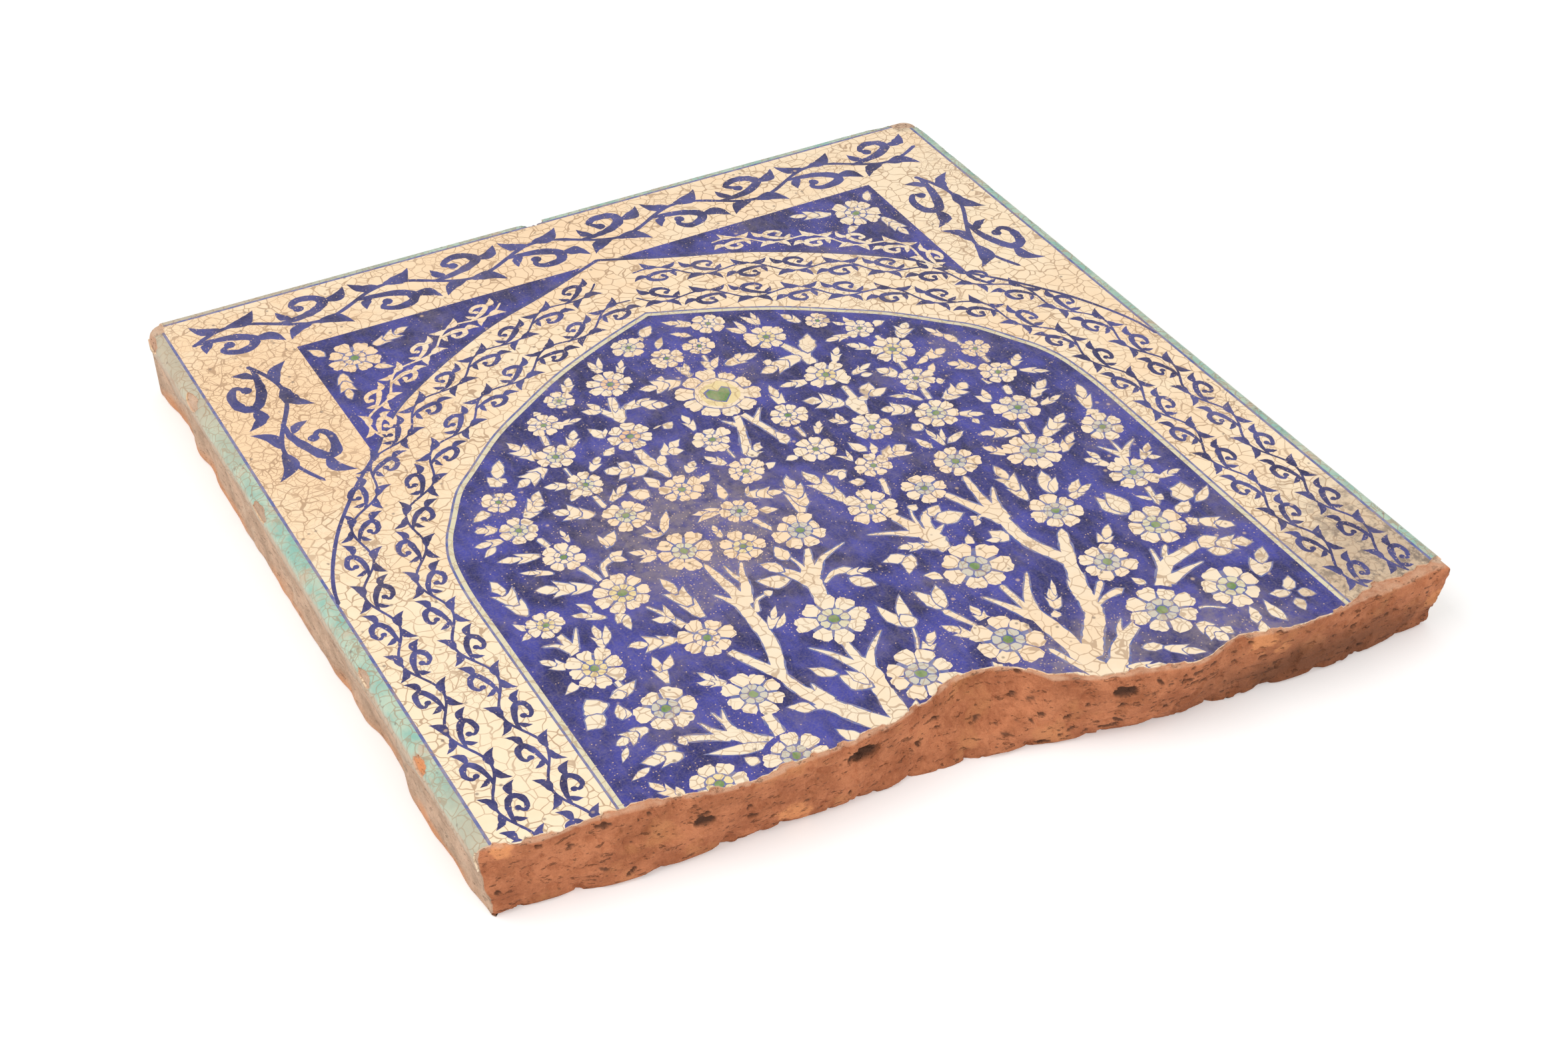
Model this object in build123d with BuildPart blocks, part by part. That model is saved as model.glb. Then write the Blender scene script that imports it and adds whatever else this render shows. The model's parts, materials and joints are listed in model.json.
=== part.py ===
from build123d import *
import os

# Thick square wall tile of red clay, moulded and fired as one piece, lying glazed face up.
# X runs across the painted design, +Y is the design's upper edge, +Z is the glazed face.
# The lower end of the design is broken away, so the -Y end is a rough fracture.
# The origin is the middle of the underside.

# slab as it left the mould
face_width = 433.0
face_length = 438.0
thickness = 37.0
side_lean = 1.0  # the sides lean in by this much from face to back
corner_radius = 9.0
rim_roll = 4.5  # rolled edge that carries the glaze over the side
back_arris = 1.8
lost_length = 40.0  # the slab ran on by this much before it broke

# fracture: how far short of the full length it stays, from left to right
# at the glazed edge, halfway down and at the underside
break_at_face = [52.0, 48.0, 42.0, 43.0, 40.0, 34.5, 31.0, 32.5, 31.5, 33.0, 38.0, 41.0,
                 27.0, 16.5, 10.5, 4.0, 8.5, 3.2, 1.2, 0.5, 0.0, 1.1, 2.4]
break_halfway = [48.0, 44.5, 37.0, 33.5, 31.5, 37.0, 24.0, 8.5, 7.0, 4.0, 3.2, 5.0]
break_at_back = [48.0, 46.0, 39.5, 38.0, 36.5, 33.5, 30.5, 25.0, 18.0, 12.0, 8.4, 5.0, 5.0, 9.0]
break_overrun = 14.0  # the fracture tool's reach past each side and past the end

# shell-shaped bite where the fracture ran up under the glaze
scoop_radius = 34.0
scoop_centre_x = -6.0
scoop_depth = 2.8

# flakes knocked off the rim: (distance along the side from its middle, radius, bite)
upper_rim_flakes = [(-14.0, 7.5, 6.2), (118.0, 20.0, 1.5)]
right_rim_flakes = [(206.0, 18.0, 2.6), (176.0, 15.0, 2.3), (152.0, 12.0, 2.1), (98.0, 17.0, 1.8)]
left_rim_flakes = [(-116.0, 9.0, 2.4), (206.0, 15.0, 2.0)]

# voids in the fracture where grit and straw burnt out: (x, depth under the glaze, length, bore)
burnt_voids = [
    (-59.0, 10.0, 15.0, 7.0),
    (-128.0, 15.0, 9.0, 4.4),
    (52.0, 9.0, 10.0, 4.6),
]

half_width = face_width / 2
half_length = face_length / 2


def stations(depths):
    """Points of one fracture line, evenly spaced from beyond the left side to beyond the right."""
    reach = half_width + break_overrun
    step = 2 * reach / (len(depths) - 1)
    return [(-reach + i * step, depth - half_length) for i, depth in enumerate(depths)]


def fracture_y(depths, x):
    """Where a fracture line stands at x, read straight between its stations."""
    points = stations(depths)
    for (x0, y0), (x1, y1) in zip(points, points[1:]):
        if x0 <= x <= x1:
            return y0 + (y1 - y0) * (x - x0) / (x1 - x0)
    return points[-1][1]


with BuildPart() as tile:
    # slab, wider at the face than at the back
    slab_length = face_length + lost_length
    with BuildSketch(Plane.XY):
        with Locations((0, -lost_length / 2)):
            RectangleRounded(face_width - 2 * side_lean, slab_length - 2 * side_lean, corner_radius)
    with BuildSketch(Plane.XY.offset(thickness)):
        with Locations((0, -lost_length / 2)):
            RectangleRounded(face_width, slab_length, corner_radius)
    loft(ruled=True)

    # rolled rim round the glazed face, small worn arris round the back
    fillet(tile.faces().sort_by(Axis.Z)[-1].edges(), radius=rim_roll)
    fillet(tile.faces().sort_by(Axis.Z)[0].edges(), radius=back_arris)

    # fracture face, one skin through the three break lines
    levels = [
        (-1.0, break_at_back),
        (thickness / 2, break_halfway),
        (thickness + 1.0, break_at_face),
    ]
    for height, depths in levels:
        with BuildSketch(Plane.XY.offset(height)):
            with BuildLine():
                line = Spline(*stations(depths))
                below = -half_length - lost_length - break_overrun
                Polyline(line @ 1, ((line @ 1).X, below), ((line @ 0).X, below), line @ 0)
            make_face()
    loft(mode=Mode.SUBTRACT)

    # shell-shaped scoop under the glaze
    scoop_y = fracture_y(break_at_face, scoop_centre_x) - scoop_radius + scoop_depth
    with Locations((scoop_centre_x, scoop_y, thickness)):
        Sphere(scoop_radius, mode=Mode.SUBTRACT)

    # flakes off the rolled rim, centred high so that they bite the glazed edge
    for along, radius, bite in upper_rim_flakes:
        with Locations((along, half_length + radius - bite, thickness)):
            Sphere(radius, mode=Mode.SUBTRACT)
    for along, radius, bite in right_rim_flakes:
        with Locations((half_width + radius - bite, along, thickness)):
            Sphere(radius, mode=Mode.SUBTRACT)
    for along, radius, bite in left_rim_flakes:
        with Locations((-half_width - radius + bite, along, thickness)):
            Sphere(radius, mode=Mode.SUBTRACT)

    # burnt-out voids, each a small spindle lying along the fracture
    for x, depth, length, bore in burnt_voids:
        lower = break_halfway if depth < thickness / 2 else break_at_back
        upper = break_at_face if depth < thickness / 2 else break_halfway
        share = depth / (thickness / 2) % 1.0
        y = fracture_y(upper, x) * (1 - share) + fracture_y(lower, x) * share
        with BuildSketch(Plane.XY.offset(thickness - depth)) as half:
            with Locations((x, y)):
                Ellipse(length / 2, bore / 2)
                split(bisect_by=Plane.XZ.offset(-y), keep=Keep.BOTTOM)
        revolve(axis=Axis((x, y, thickness - depth), (1, 0, 0)), mode=Mode.SUBTRACT)

tile.part.label = "tile"

os.makedirs("parts", exist_ok=True)
export_step(tile.part, "parts/tile.step")
box = tile.part.bounding_box()
print(box.min, box.max, round(tile.part.volume), len(tile.part.solids()))
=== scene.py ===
import bpy
import json
import math
import numpy as np
from mathutils import Euler, Matrix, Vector
from mathutils.geometry import delaunay_2d_cdt

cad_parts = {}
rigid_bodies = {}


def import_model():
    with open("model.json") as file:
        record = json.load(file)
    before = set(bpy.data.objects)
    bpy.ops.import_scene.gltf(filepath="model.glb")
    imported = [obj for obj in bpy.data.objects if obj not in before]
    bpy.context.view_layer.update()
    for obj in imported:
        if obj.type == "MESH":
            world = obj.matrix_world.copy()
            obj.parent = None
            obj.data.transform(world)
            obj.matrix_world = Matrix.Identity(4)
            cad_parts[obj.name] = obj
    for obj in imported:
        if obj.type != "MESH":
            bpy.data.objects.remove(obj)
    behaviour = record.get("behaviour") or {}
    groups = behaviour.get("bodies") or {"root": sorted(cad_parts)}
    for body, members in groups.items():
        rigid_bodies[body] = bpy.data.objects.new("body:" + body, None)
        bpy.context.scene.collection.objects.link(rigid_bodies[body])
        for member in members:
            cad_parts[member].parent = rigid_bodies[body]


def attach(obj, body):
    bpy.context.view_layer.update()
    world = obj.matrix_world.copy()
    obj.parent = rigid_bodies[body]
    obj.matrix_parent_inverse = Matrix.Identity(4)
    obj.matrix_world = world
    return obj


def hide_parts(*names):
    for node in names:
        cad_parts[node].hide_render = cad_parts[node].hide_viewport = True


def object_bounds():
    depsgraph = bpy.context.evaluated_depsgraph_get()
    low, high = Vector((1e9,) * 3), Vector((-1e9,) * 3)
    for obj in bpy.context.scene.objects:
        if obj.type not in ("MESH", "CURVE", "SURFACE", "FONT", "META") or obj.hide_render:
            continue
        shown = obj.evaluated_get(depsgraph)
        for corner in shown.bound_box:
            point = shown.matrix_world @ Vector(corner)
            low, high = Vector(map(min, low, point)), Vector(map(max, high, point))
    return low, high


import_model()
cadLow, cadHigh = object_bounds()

# Shapes are worked out in millimetres on the tile's own axes and become metres when a mesh is made.
# X runs across the painted design, Y up it, Z out of the glaze; the tile lies on z = 0.
metres = 0.001

tileForm = {
    "faceWidth": 433.0,
    "faceLength": 438.0,
    "thickness": 37.0,
    "sideLean": 1.0,  # the sides lean in by this much from face to back
    "rimRoll": 4.5,
    "flatCorner": 4.4,  # corner radius where the flat face meets the roll
    "backArris": 1.8,
    "breakOverrun": 14.0,
    "breakAtFace": [52.0, 48.0, 42.0, 43.0, 40.0, 34.5, 31.0, 32.5, 31.5, 33.0, 38.0, 41.0,
                    27.0, 16.5, 10.5, 4.0, 8.5, 3.2, 1.2, 0.5, 0.0, 1.1, 2.4],
    "breakHalfway": [48.0, 44.5, 37.0, 33.5, 31.5, 37.0, 24.0, 8.5, 7.0, 4.0, 3.2, 5.0],
    "breakAtBack": [48.0, 46.0, 39.5, 38.0, 36.5, 33.5, 30.5, 25.0, 18.0, 12.0, 8.4, 5.0, 5.0, 9.0],
    "scoopX": -6.0,
    "scoopRadius": 34.0,
    "scoopDepth": 2.8,
    # x, depth under the glaze, length, bore
    "burntVoids": [(-59, 10, 15, 7), (-128, 15, 9, 4.4), (52, 9, 10, 4.6)],
    # side, distance along it from its middle, radius, bite
    "rimFlakes": [("top", -14, 7.5, 6.2), ("top", 118, 20, 1.5),
                  ("right", 206, 18, 2.6), ("right", 176, 15, 2.3), ("right", 152, 12, 2.1),
                  ("right", 98, 17, 1.8), ("left", -116, 9, 2.4), ("left", 206, 15, 2.0)],
    "glazeDepth": 0.7,
    "wobble": (0.5, 55, 11, 2),  # how far the hand-made rim wanders in: height, cell, seed, layers
}
glazeEdge = {  # the noises are height, cell, seed, layers
    "waves": (1.0, 13, 5, 2),
    "teeth": (1.7, 2.4, 6, 3),
    "step": 1.3,
    "stepNoise": (1.0, 6, 7, 1),
    "lostStrip": 5.6,
    "lostFrom": (152, 172),
    "lostNoise": (1.0, 8, 9, 2),
}
thick = tileForm["thickness"]
leanAngle = math.atan(tileForm["sideLean"] / thick)
rollSpan = tileForm["rimRoll"] / math.tan((math.pi / 2 - leanAngle) / 2)
flatX = tileForm["faceWidth"] / 2 - rollSpan
flatY = tileForm["faceLength"] / 2 - rollSpan
rollArc = tileForm["rimRoll"] * (math.pi / 2 + leanAngle)


def latticeNoise(x, y, cell, seed, layers=3):
    # random heights on a square lattice of that cell, blended by f * f * (3 - 2 f) between its
    # corners; each further layer has half the cell and half the height; the sum runs from 0 to 1
    x, y = np.broadcast_arrays(np.asarray(x, float), np.asarray(y, float))
    total, weight = np.zeros(x.shape), 0.0
    for layer in range(layers):
        table = np.random.default_rng(seed * 31 + layer).random((256, 256))
        gx, gy = x * 2**layer / cell + 90.5, y * 2**layer / cell + 90.5
        ix, iy = np.floor(gx).astype(int), np.floor(gy).astype(int)
        fx, fy = gx - ix, gy - iy
        fx, fy = fx * fx * (3 - 2 * fx), fy * fy * (3 - 2 * fy)
        low = table[ix & 255, iy & 255] * (1 - fx) + table[(ix + 1) & 255, iy & 255] * fx
        high = table[ix & 255, (iy + 1) & 255] * (1 - fx) + table[(ix + 1) & 255, (iy + 1) & 255] * fx
        total += (low * (1 - fy) + high * fy) / 2**layer
        weight += 1 / 2**layer
    return total / weight


def waver(row, x, y):
    # one named noise: height, cell, seed, layers
    height, cell, seed, layers = row
    return height * latticeNoise(x, y, cell, seed, layers)


def easeStep(value, low, high):
    # 0 below low, 1 above high, t * t * (3 - 2 t) between
    t = np.clip((value - low) / (high - low), 0, 1)
    return t * t * (3 - 2 * t)


def curveThrough(points, perSpan):
    # Catmull-Rom: between points b and c, with neighbours a and d,
    # p(t) = (2b + (c - a) t + (2a - 5b + 4c - d) t^2 + (3b - a - 3c + d) t^3) / 2
    p = np.asarray(points, float)
    p = np.vstack([2 * p[0] - p[1], p, 2 * p[-1] - p[-2]])
    a, b, c, d = p[:-3, None], p[1:-2, None], p[2:-1, None], p[3:, None]
    t = np.linspace(0, 1, perSpan, endpoint=False)[None, :, None]
    run = (2 * b + (c - a) * t + (2 * a - 5 * b + 4 * c - d) * t**2 + (3 * b - a - 3 * c + d) * t**3) / 2
    return np.vstack([run.reshape(-1, p.shape[1]), p[-2:-1]])


def breakLine(depths, x):
    # one fracture line: how far short of the full length it stays, at even stations across the tile
    reach = tileForm["faceWidth"] / 2 + tileForm["breakOverrun"]
    stations = np.linspace(-reach, reach, len(depths))
    fine = curveThrough(np.column_stack([stations, depths]), 12)
    return np.interp(x, fine[:, 0], fine[:, 1]) - tileForm["faceLength"] / 2


def fractureY(x, z):
    # the parabola in z through the back, halfway and face lines, or the scoop's sphere where that
    # stands further in
    x, z = np.broadcast_arrays(np.asarray(x, float), np.asarray(z, float))
    t = (z + 1) / (thick + 2)
    back, half, face = (breakLine(tileForm[k], x) for k in ("breakAtBack", "breakHalfway", "breakAtFace"))
    skin = back * (2 * t - 1) * (t - 1) + half * 4 * t * (1 - t) + face * t * (2 * t - 1)
    radius, cx = tileForm["scoopRadius"], tileForm["scoopX"]
    reach = tileForm["faceWidth"] / 2 + tileForm["breakOverrun"]
    stations = np.linspace(-reach, reach, len(tileForm["breakAtFace"]))
    edge = np.interp(cx, stations, tileForm["breakAtFace"]) - tileForm["faceLength"] / 2
    cy = edge - radius + tileForm["scoopDepth"]
    under = radius**2 - (x - cx) ** 2 - (z - thick) ** 2
    return np.where(under > 0, np.maximum(skin, cy + np.sqrt(np.maximum(under, 0))), skin)


def glazeJag(x):
    # how far the broken glaze edge stands back: 2.6 w^2 for the waves w, small teeth, steps where a
    # noise passes 0.6, and a wider strip lost towards the right corner
    waves = waver(glazeEdge["waves"], x, 0)
    teeth = waver(glazeEdge["teeth"], x, 0)
    steps = glazeEdge["step"] * easeStep(waver(glazeEdge["stepNoise"], x, 0), 0.6, 0.66)
    lost = glazeEdge["lostStrip"] * easeStep(x, *glazeEdge["lostFrom"])
    return 2.6 * waves**2 + teeth + steps + lost * (0.5 + waver(glazeEdge["lostNoise"], x, 0))


def rimWobble(x, y, away):
    # how far the hand-made rim sits inside true, fading out over the flat
    return waver(tileForm["wobble"], x, y) * easeStep(away, -3, 5)


def overTheRim(away):
    # profile from the flat face outwards: a quarter roll of the rim radius, then the leaning side
    angle = np.clip(away / tileForm["rimRoll"], 0, math.pi / 2 + leanAngle)
    rest = np.maximum(away - rollArc, 0)
    out = tileForm["rimRoll"] * np.sin(angle) - rest * math.sin(leanAngle)
    drop = tileForm["rimRoll"] * (1 - np.cos(angle)) + rest * math.cos(leanAngle)
    return out, drop, angle


def ontoTile(u, v):
    # the unrolled glaze (u, v) laid on the tile: inside the flat it is (u, v, thickness); beyond it
    # the distance to the flat's rounded outline runs over the rim profile, along the outline's normal
    r = tileForm["flatCorner"]
    cx = np.clip(u, r - flatX, flatX - r)
    cy = np.minimum(v, flatY - r)
    dx, dy = u - cx, v - cy
    dist = np.hypot(dx, dy)
    safe = np.where(dist > 1e-9, dist, 1)
    nx, ny = dx / safe, dy / safe
    away = np.maximum(dist - r, 0)
    out, drop, angle = overTheRim(away)
    step = np.minimum(dist, r) + out - rimWobble(cx, cy, away)
    point = np.stack([cx + nx * step, cy + ny * step, thick - drop], -1)
    normal = np.stack([nx * np.sin(angle), ny * np.sin(angle), np.cos(angle)], -1)
    return point, normal, away


def flakeCentre(flake):
    side, along, radius, bite = flake
    across = tileForm["faceWidth"] / 2 + radius - bite
    up = tileForm["faceLength"] / 2 + radius - bite
    spots = {"top": (along, up), "right": (across, along), "left": (-across, along)}
    return np.array([*spots[side], thick]), radius


def carveFlakes(points):
    # each flake is a sphere: what lies inside it moves out along its radius onto the sphere
    bare = np.zeros(len(points))
    for flake in tileForm["rimFlakes"]:
        centre, radius = flakeCentre(flake)
        radius = radius + 0.5
        offset = points - centre
        far = np.linalg.norm(offset, axis=-1, keepdims=True)
        inside = far[:, 0] < radius
        points = np.where(inside[:, None], centre + offset / far * radius, points)
        bare = np.maximum(bare, easeStep(radius + 0.6 - far[:, 0], 0, 0.6))
    return points, bare


def meshFrom(name, points, faces, materials, faceMaterial=None, attributes=None, cornerUv=None, smooth=None):
    # points in millimetres; one material for all faces, or faceMaterial picks one for each
    mesh = bpy.data.meshes.new(name)
    mesh.from_pydata((points * metres).tolist(), [], faces)
    for m in materials:
        mesh.materials.append(m)
    if faceMaterial is not None:
        mesh.polygons.foreach_set("material_index", np.asarray(faceMaterial, np.int32))
    for key, values in (attributes or {}).items():
        mesh.attributes.new(key, "FLOAT", "POINT").data.foreach_set("value", np.asarray(values, np.float32))
    if cornerUv is not None:
        mesh.uv_layers.new(name="OFBake").data.foreach_set("uv", cornerUv.astype(np.float32).ravel())
    mesh.polygons.foreach_set("use_smooth", np.ones(len(mesh.polygons), bool) if smooth is None else smooth)
    mesh.update()
    piece = bpy.data.objects.new(name, mesh)
    bpy.context.collection.objects.link(piece)
    return piece


print("tile form ready")

# noise scale, detail and roughness, then the two noise values it fades between and what they become
clouds = {
    "hairFade": (40.0, 2.0, 0.5, 0.5, 0.62),
    "crackStrength": (30.0, 3.0, 0.5, 0.3, 0.6, 0.6, 1.0),
    "speckPatches": (22.0, 3.0, 0.5, 0.35, 0.7, 0.15, 1.0),
    "tear": (150.0, 5.0, 0.72, 0.585, 0.66),
    "stain": (16.0, 5.0, 0.6, 0.42, 0.72, 0.0, 0.55),
    "mottle": (140.0, 4.0, 0.5, 0.35, 0.75, 0.0, 0.22),
    "darkened": (150.0, 6.0, 0.72, 0.47, 0.6),
    "dustFilm": (30.0, 5.0, 0.65, 0.5, 0.74, 0.0, 0.34),
    "wornFilm": (150.0, 5.0, 0.65, 0.36, 0.62, 0.15, 0.75),
    "powder": (1000.0, 3.0, 0.7, 0.42, 0.68, 0.0, 0.24),
    "rubbed": (75.0, 5.0, 0.7, 0.5, 0.68, 0.0, 0.75),
    "dustySide": (120.0, 5.0, 0.7, 0.5, 0.7, 0.0, 0.6),
    "warmFoot": (20.0, 3.0, 0.5, 0.4, 0.62, 0.15, 1.0),
    "umber": (55.0, 6.0, 0.7, 0.52, 0.68, 0.0, 0.5),
    "ochre": (38.0, 5.0, 0.6, 0.54, 0.68, 0.0, 0.5),
    "chalk": (130.0, 5.0, 0.65, 0.3, 0.6, 0.25, 0.85),
    "gritty": (110.0, 2.0, 0.5, 0.48, 0.6),
}


# Node groups shared by the finishes. They give masks, tones and heights, never shaders.


def newGroup(name, inputs, outputs):
    # inputs are numbers or vectors with a default, outputs are numbers
    group = bpy.data.node_groups.new(name, "ShaderNodeTree")
    for label, value in inputs.items():
        kind = "NodeSocketVector" if isinstance(value, tuple) else "NodeSocketFloat"
        group.interface.new_socket(label, in_out="INPUT", socket_type=kind).default_value = value
    for label in outputs:
        group.interface.new_socket(label, in_out="OUTPUT", socket_type="NodeSocketFloat")
    return group, group.nodes.new("NodeGroupInput"), group.nodes.new("NodeGroupOutput")


def feed(tree, made, feeds):
    # each named or numbered input takes a link from another node, or a plain value
    for key, source in feeds.items():
        if isinstance(source, bpy.types.NodeSocket):
            tree.links.new(source, made.inputs[key])
        else:
            made.inputs[key].default_value = source


def node(tree, kind, feeds=None, **settings):
    made = tree.nodes.new(kind)
    for key, value in settings.items():
        setattr(made, key, value)
    feed(tree, made, feeds or {})
    return made


def maths(tree, operation, a, b=0.0, clamp=False):
    return node(tree, "ShaderNodeMath", {0: a, 1: b}, operation=operation, use_clamp=clamp).outputs[0]


def plus(tree, a, b, clamp=False):
    return maths(tree, "ADD", a, b, clamp)


def times(tree, a, b):
    return maths(tree, "MULTIPLY", a, b)


def larger(tree, a, b):
    return maths(tree, "MAXIMUM", a, b)


def ramped(tree, value, low, high, toLow=0.0, toHigh=1.0):
    feeds = {"Value": value, "From Min": low, "From Max": high, "To Min": toLow, "To Max": toHigh}
    return node(tree, "ShaderNodeMapRange", feeds, interpolation_type="SMOOTHSTEP").outputs[0]


def blended(tree, amount, first, second):
    # inputs 6 and 7 of a colour mix are its two colours
    return node(tree, "ShaderNodeMix", {0: amount, 6: first, 7: second}, data_type="RGBA").outputs[2]


def over(tree, base, *rows):
    # colours laid one over another, each as strongly as its mask times its share
    for mask, share, tint in rows:
        base = blended(tree, times(tree, mask, share), base, tint)
    return base


def noiseAt(tree, where, scale, detail=3.0, rough=0.5):
    feeds = {"Vector": where, "Scale": scale, "Detail": detail, "Roughness": rough}
    return node(tree, "ShaderNodeTexNoise", feeds).outputs[0]


def cloud(tree, where, name):
    scale, detail, rough, *ends = clouds[name]
    return ramped(tree, noiseAt(tree, where, scale, detail, rough), *ends)


def objectPlace(tree):
    return node(tree, "ShaderNodeTexCoord").outputs["Object"]


def vectorMaths(tree, operation, a, b, output=0):
    second = "Scale" if operation == "SCALE" else 1
    return node(tree, "ShaderNodeVectorMath", {0: a, second: b}, operation=operation).outputs[output]


def makeCraze():
    # crackle of the glaze: edges of a warped cell pattern, with a finer set that comes and goes
    inputs = {"Cell": 0.011, "Line": 0.02, "Dense": 0.0}
    group, given, result = newGroup("craze", inputs, ["Crack", "Height"])
    where = objectPlace(group)
    warp = {"Vector": where, "Scale": 130.0, "Detail": 1.0}
    drift = node(group, "ShaderNodeTexNoise", warp).outputs["Color"]
    centred = vectorMaths(group, "SUBTRACT", drift, (0.5, 0.5, 0.5))
    nudge = vectorMaths(group, "SCALE", centred, 0.0045)
    warped = vectorMaths(group, "ADD", where, nudge)
    core = times(group, given.outputs["Line"], 0.35)

    def cellEdges(density):
        cells = {"Vector": warped, "Scale": density}
        far = node(group, "ShaderNodeTexVoronoi", cells, feature="DISTANCE_TO_EDGE").outputs[0]
        return ramped(group, far, core, given.outputs["Line"], 1.0, 0.0)

    density = maths(group, "DIVIDE", 1.0, given.outputs["Cell"])
    main = cellEdges(density)
    hair = cellEdges(times(group, density, 1.7))
    fade = cloud(group, where, "hairFade")
    fade = larger(group, fade, given.outputs["Dense"])
    hair = times(group, hair, times(group, fade, 0.8))
    strength = cloud(group, where, "crackStrength")
    crack = times(group, larger(group, main, hair), strength)
    feed(group, result, {"Crack": crack, "Height": times(group, crack, -1.0)})
    return group


def makeBrushTone():
    # uneven wash of a hand-laid colour: broad pools crossed by short strokes
    group, given, result = newGroup("brushTone", {"Pools": 42.0, "Strokes": 190.0}, ["Tone"])
    where = objectPlace(group)
    slanted = {"Vector": where, "Rotation": (0.0, 0.0, 0.9), "Scale": (1.0, 0.35, 1.0)}
    turned = node(group, "ShaderNodeMapping", slanted).outputs[0]
    pools = ramped(group, noiseAt(group, where, given.outputs["Pools"], 4.0, 0.55), 0.38, 0.62)
    strokes = ramped(group, noiseAt(group, turned, given.outputs["Strokes"], 4.0, 0.6), 0.34, 0.66)
    tone = plus(group, times(group, pools, 0.62), times(group, strokes, 0.38), clamp=True)
    feed(group, result, {"Tone": tone})
    return group


def makeSpecks():
    # dust grains and pinholes: small dots inside some of the cells, thicker where a slow noise says
    group, given, result = newGroup("specks", {"Fine": 420.0, "Amount": 0.5}, ["Speck"])
    where = objectPlace(group)
    cells = node(group, "ShaderNodeTexVoronoi", {"Vector": where, "Scale": given.outputs["Fine"]})
    chance = node(group, "ShaderNodeSeparateColor", {0: cells.outputs["Color"]}).outputs[0]
    patchy = cloud(group, where, "speckPatches")
    chosen = maths(group, "LESS_THAN", chance, times(group, patchy, given.outputs["Amount"]))
    dot = ramped(group, cells.outputs["Distance"], 0.12, 0.34, 1.0, 0.0)
    feed(group, result, {"Speck": times(group, dot, chosen)})
    return group


def makePatch():
    # a ragged-edged patch round one spot of the tile
    group, given, result = newGroup("patch", {"Centre": (0.0, 0.0, 0.0), "Reach": 0.05}, ["Mask"])
    where = objectPlace(group)
    far = vectorMaths(group, "DISTANCE", where, given.outputs["Centre"], "Value")
    share = maths(group, "DIVIDE", far, given.outputs["Reach"])
    ragged = plus(group, share, times(group, noiseAt(group, where, 60.0, 5.0, 0.65), 0.9))
    feed(group, result, {"Mask": ramped(group, ragged, 0.65, 1.35, 1.0, 0.0)})
    return group


def makeGrain():
    # fired clay: sand grain, soft mottle, little lumps, dark grit and torn streaks
    outputs = ["Tone", "Height", "Grit", "Tear"]
    group, given, result = newGroup("grain", {"Sand": 900.0, "Mottle": 70.0}, outputs)
    where = objectPlace(group)
    sand = noiseAt(group, where, given.outputs["Sand"], 3.0, 0.6)
    lumps = noiseAt(group, where, 260.0, 4.0, 0.6)
    mottle = noiseAt(group, where, given.outputs["Mottle"], 5.0, 0.6)
    flatter = node(group, "ShaderNodeMapping", {"Vector": where, "Scale": (1.0, 1.0, 2.2)}).outputs[0]
    cells = node(group, "ShaderNodeTexVoronoi", {"Vector": flatter, "Scale": 300.0}).outputs["Distance"]
    leaning = {"Vector": where, "Rotation": (0.0, 0.3, 0.0), "Scale": (1.0, 1.0, 3.0)}
    torn = node(group, "ShaderNodeMapping", leaning).outputs[0]
    tear = cloud(group, torn, "tear")
    tone = plus(group, times(group, mottle, 0.75), times(group, sand, 0.25))
    height = plus(group, times(group, sand, 0.45), times(group, lumps, 0.8))
    height = maths(group, "SUBTRACT", height, times(group, tear, 0.35))
    tone = ramped(group, tone, 0.34, 0.66)
    grit = ramped(group, cells, 0.12, 0.24, 1.0, 0.0)
    feed(group, result, {"Tone": tone, "Height": height, "Grit": grit, "Tear": tear})
    return group


groups = {
    "craze": makeCraze(),
    "tone": makeBrushTone(),
    "specks": makeSpecks(),
    "patch": makePatch(),
    "grain": makeGrain(),
}


def use(tree, name, **values):
    return node(tree, "ShaderNodeGroup", values, node_tree=groups[name])


def newMaterial(name):
    material = bpy.data.materials.new(name)
    material.use_nodes = True
    return material, material.node_tree, material.node_tree.nodes["Principled BSDF"]


def colour(r, g, b):
    return (r, g, b, 1.0)


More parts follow.
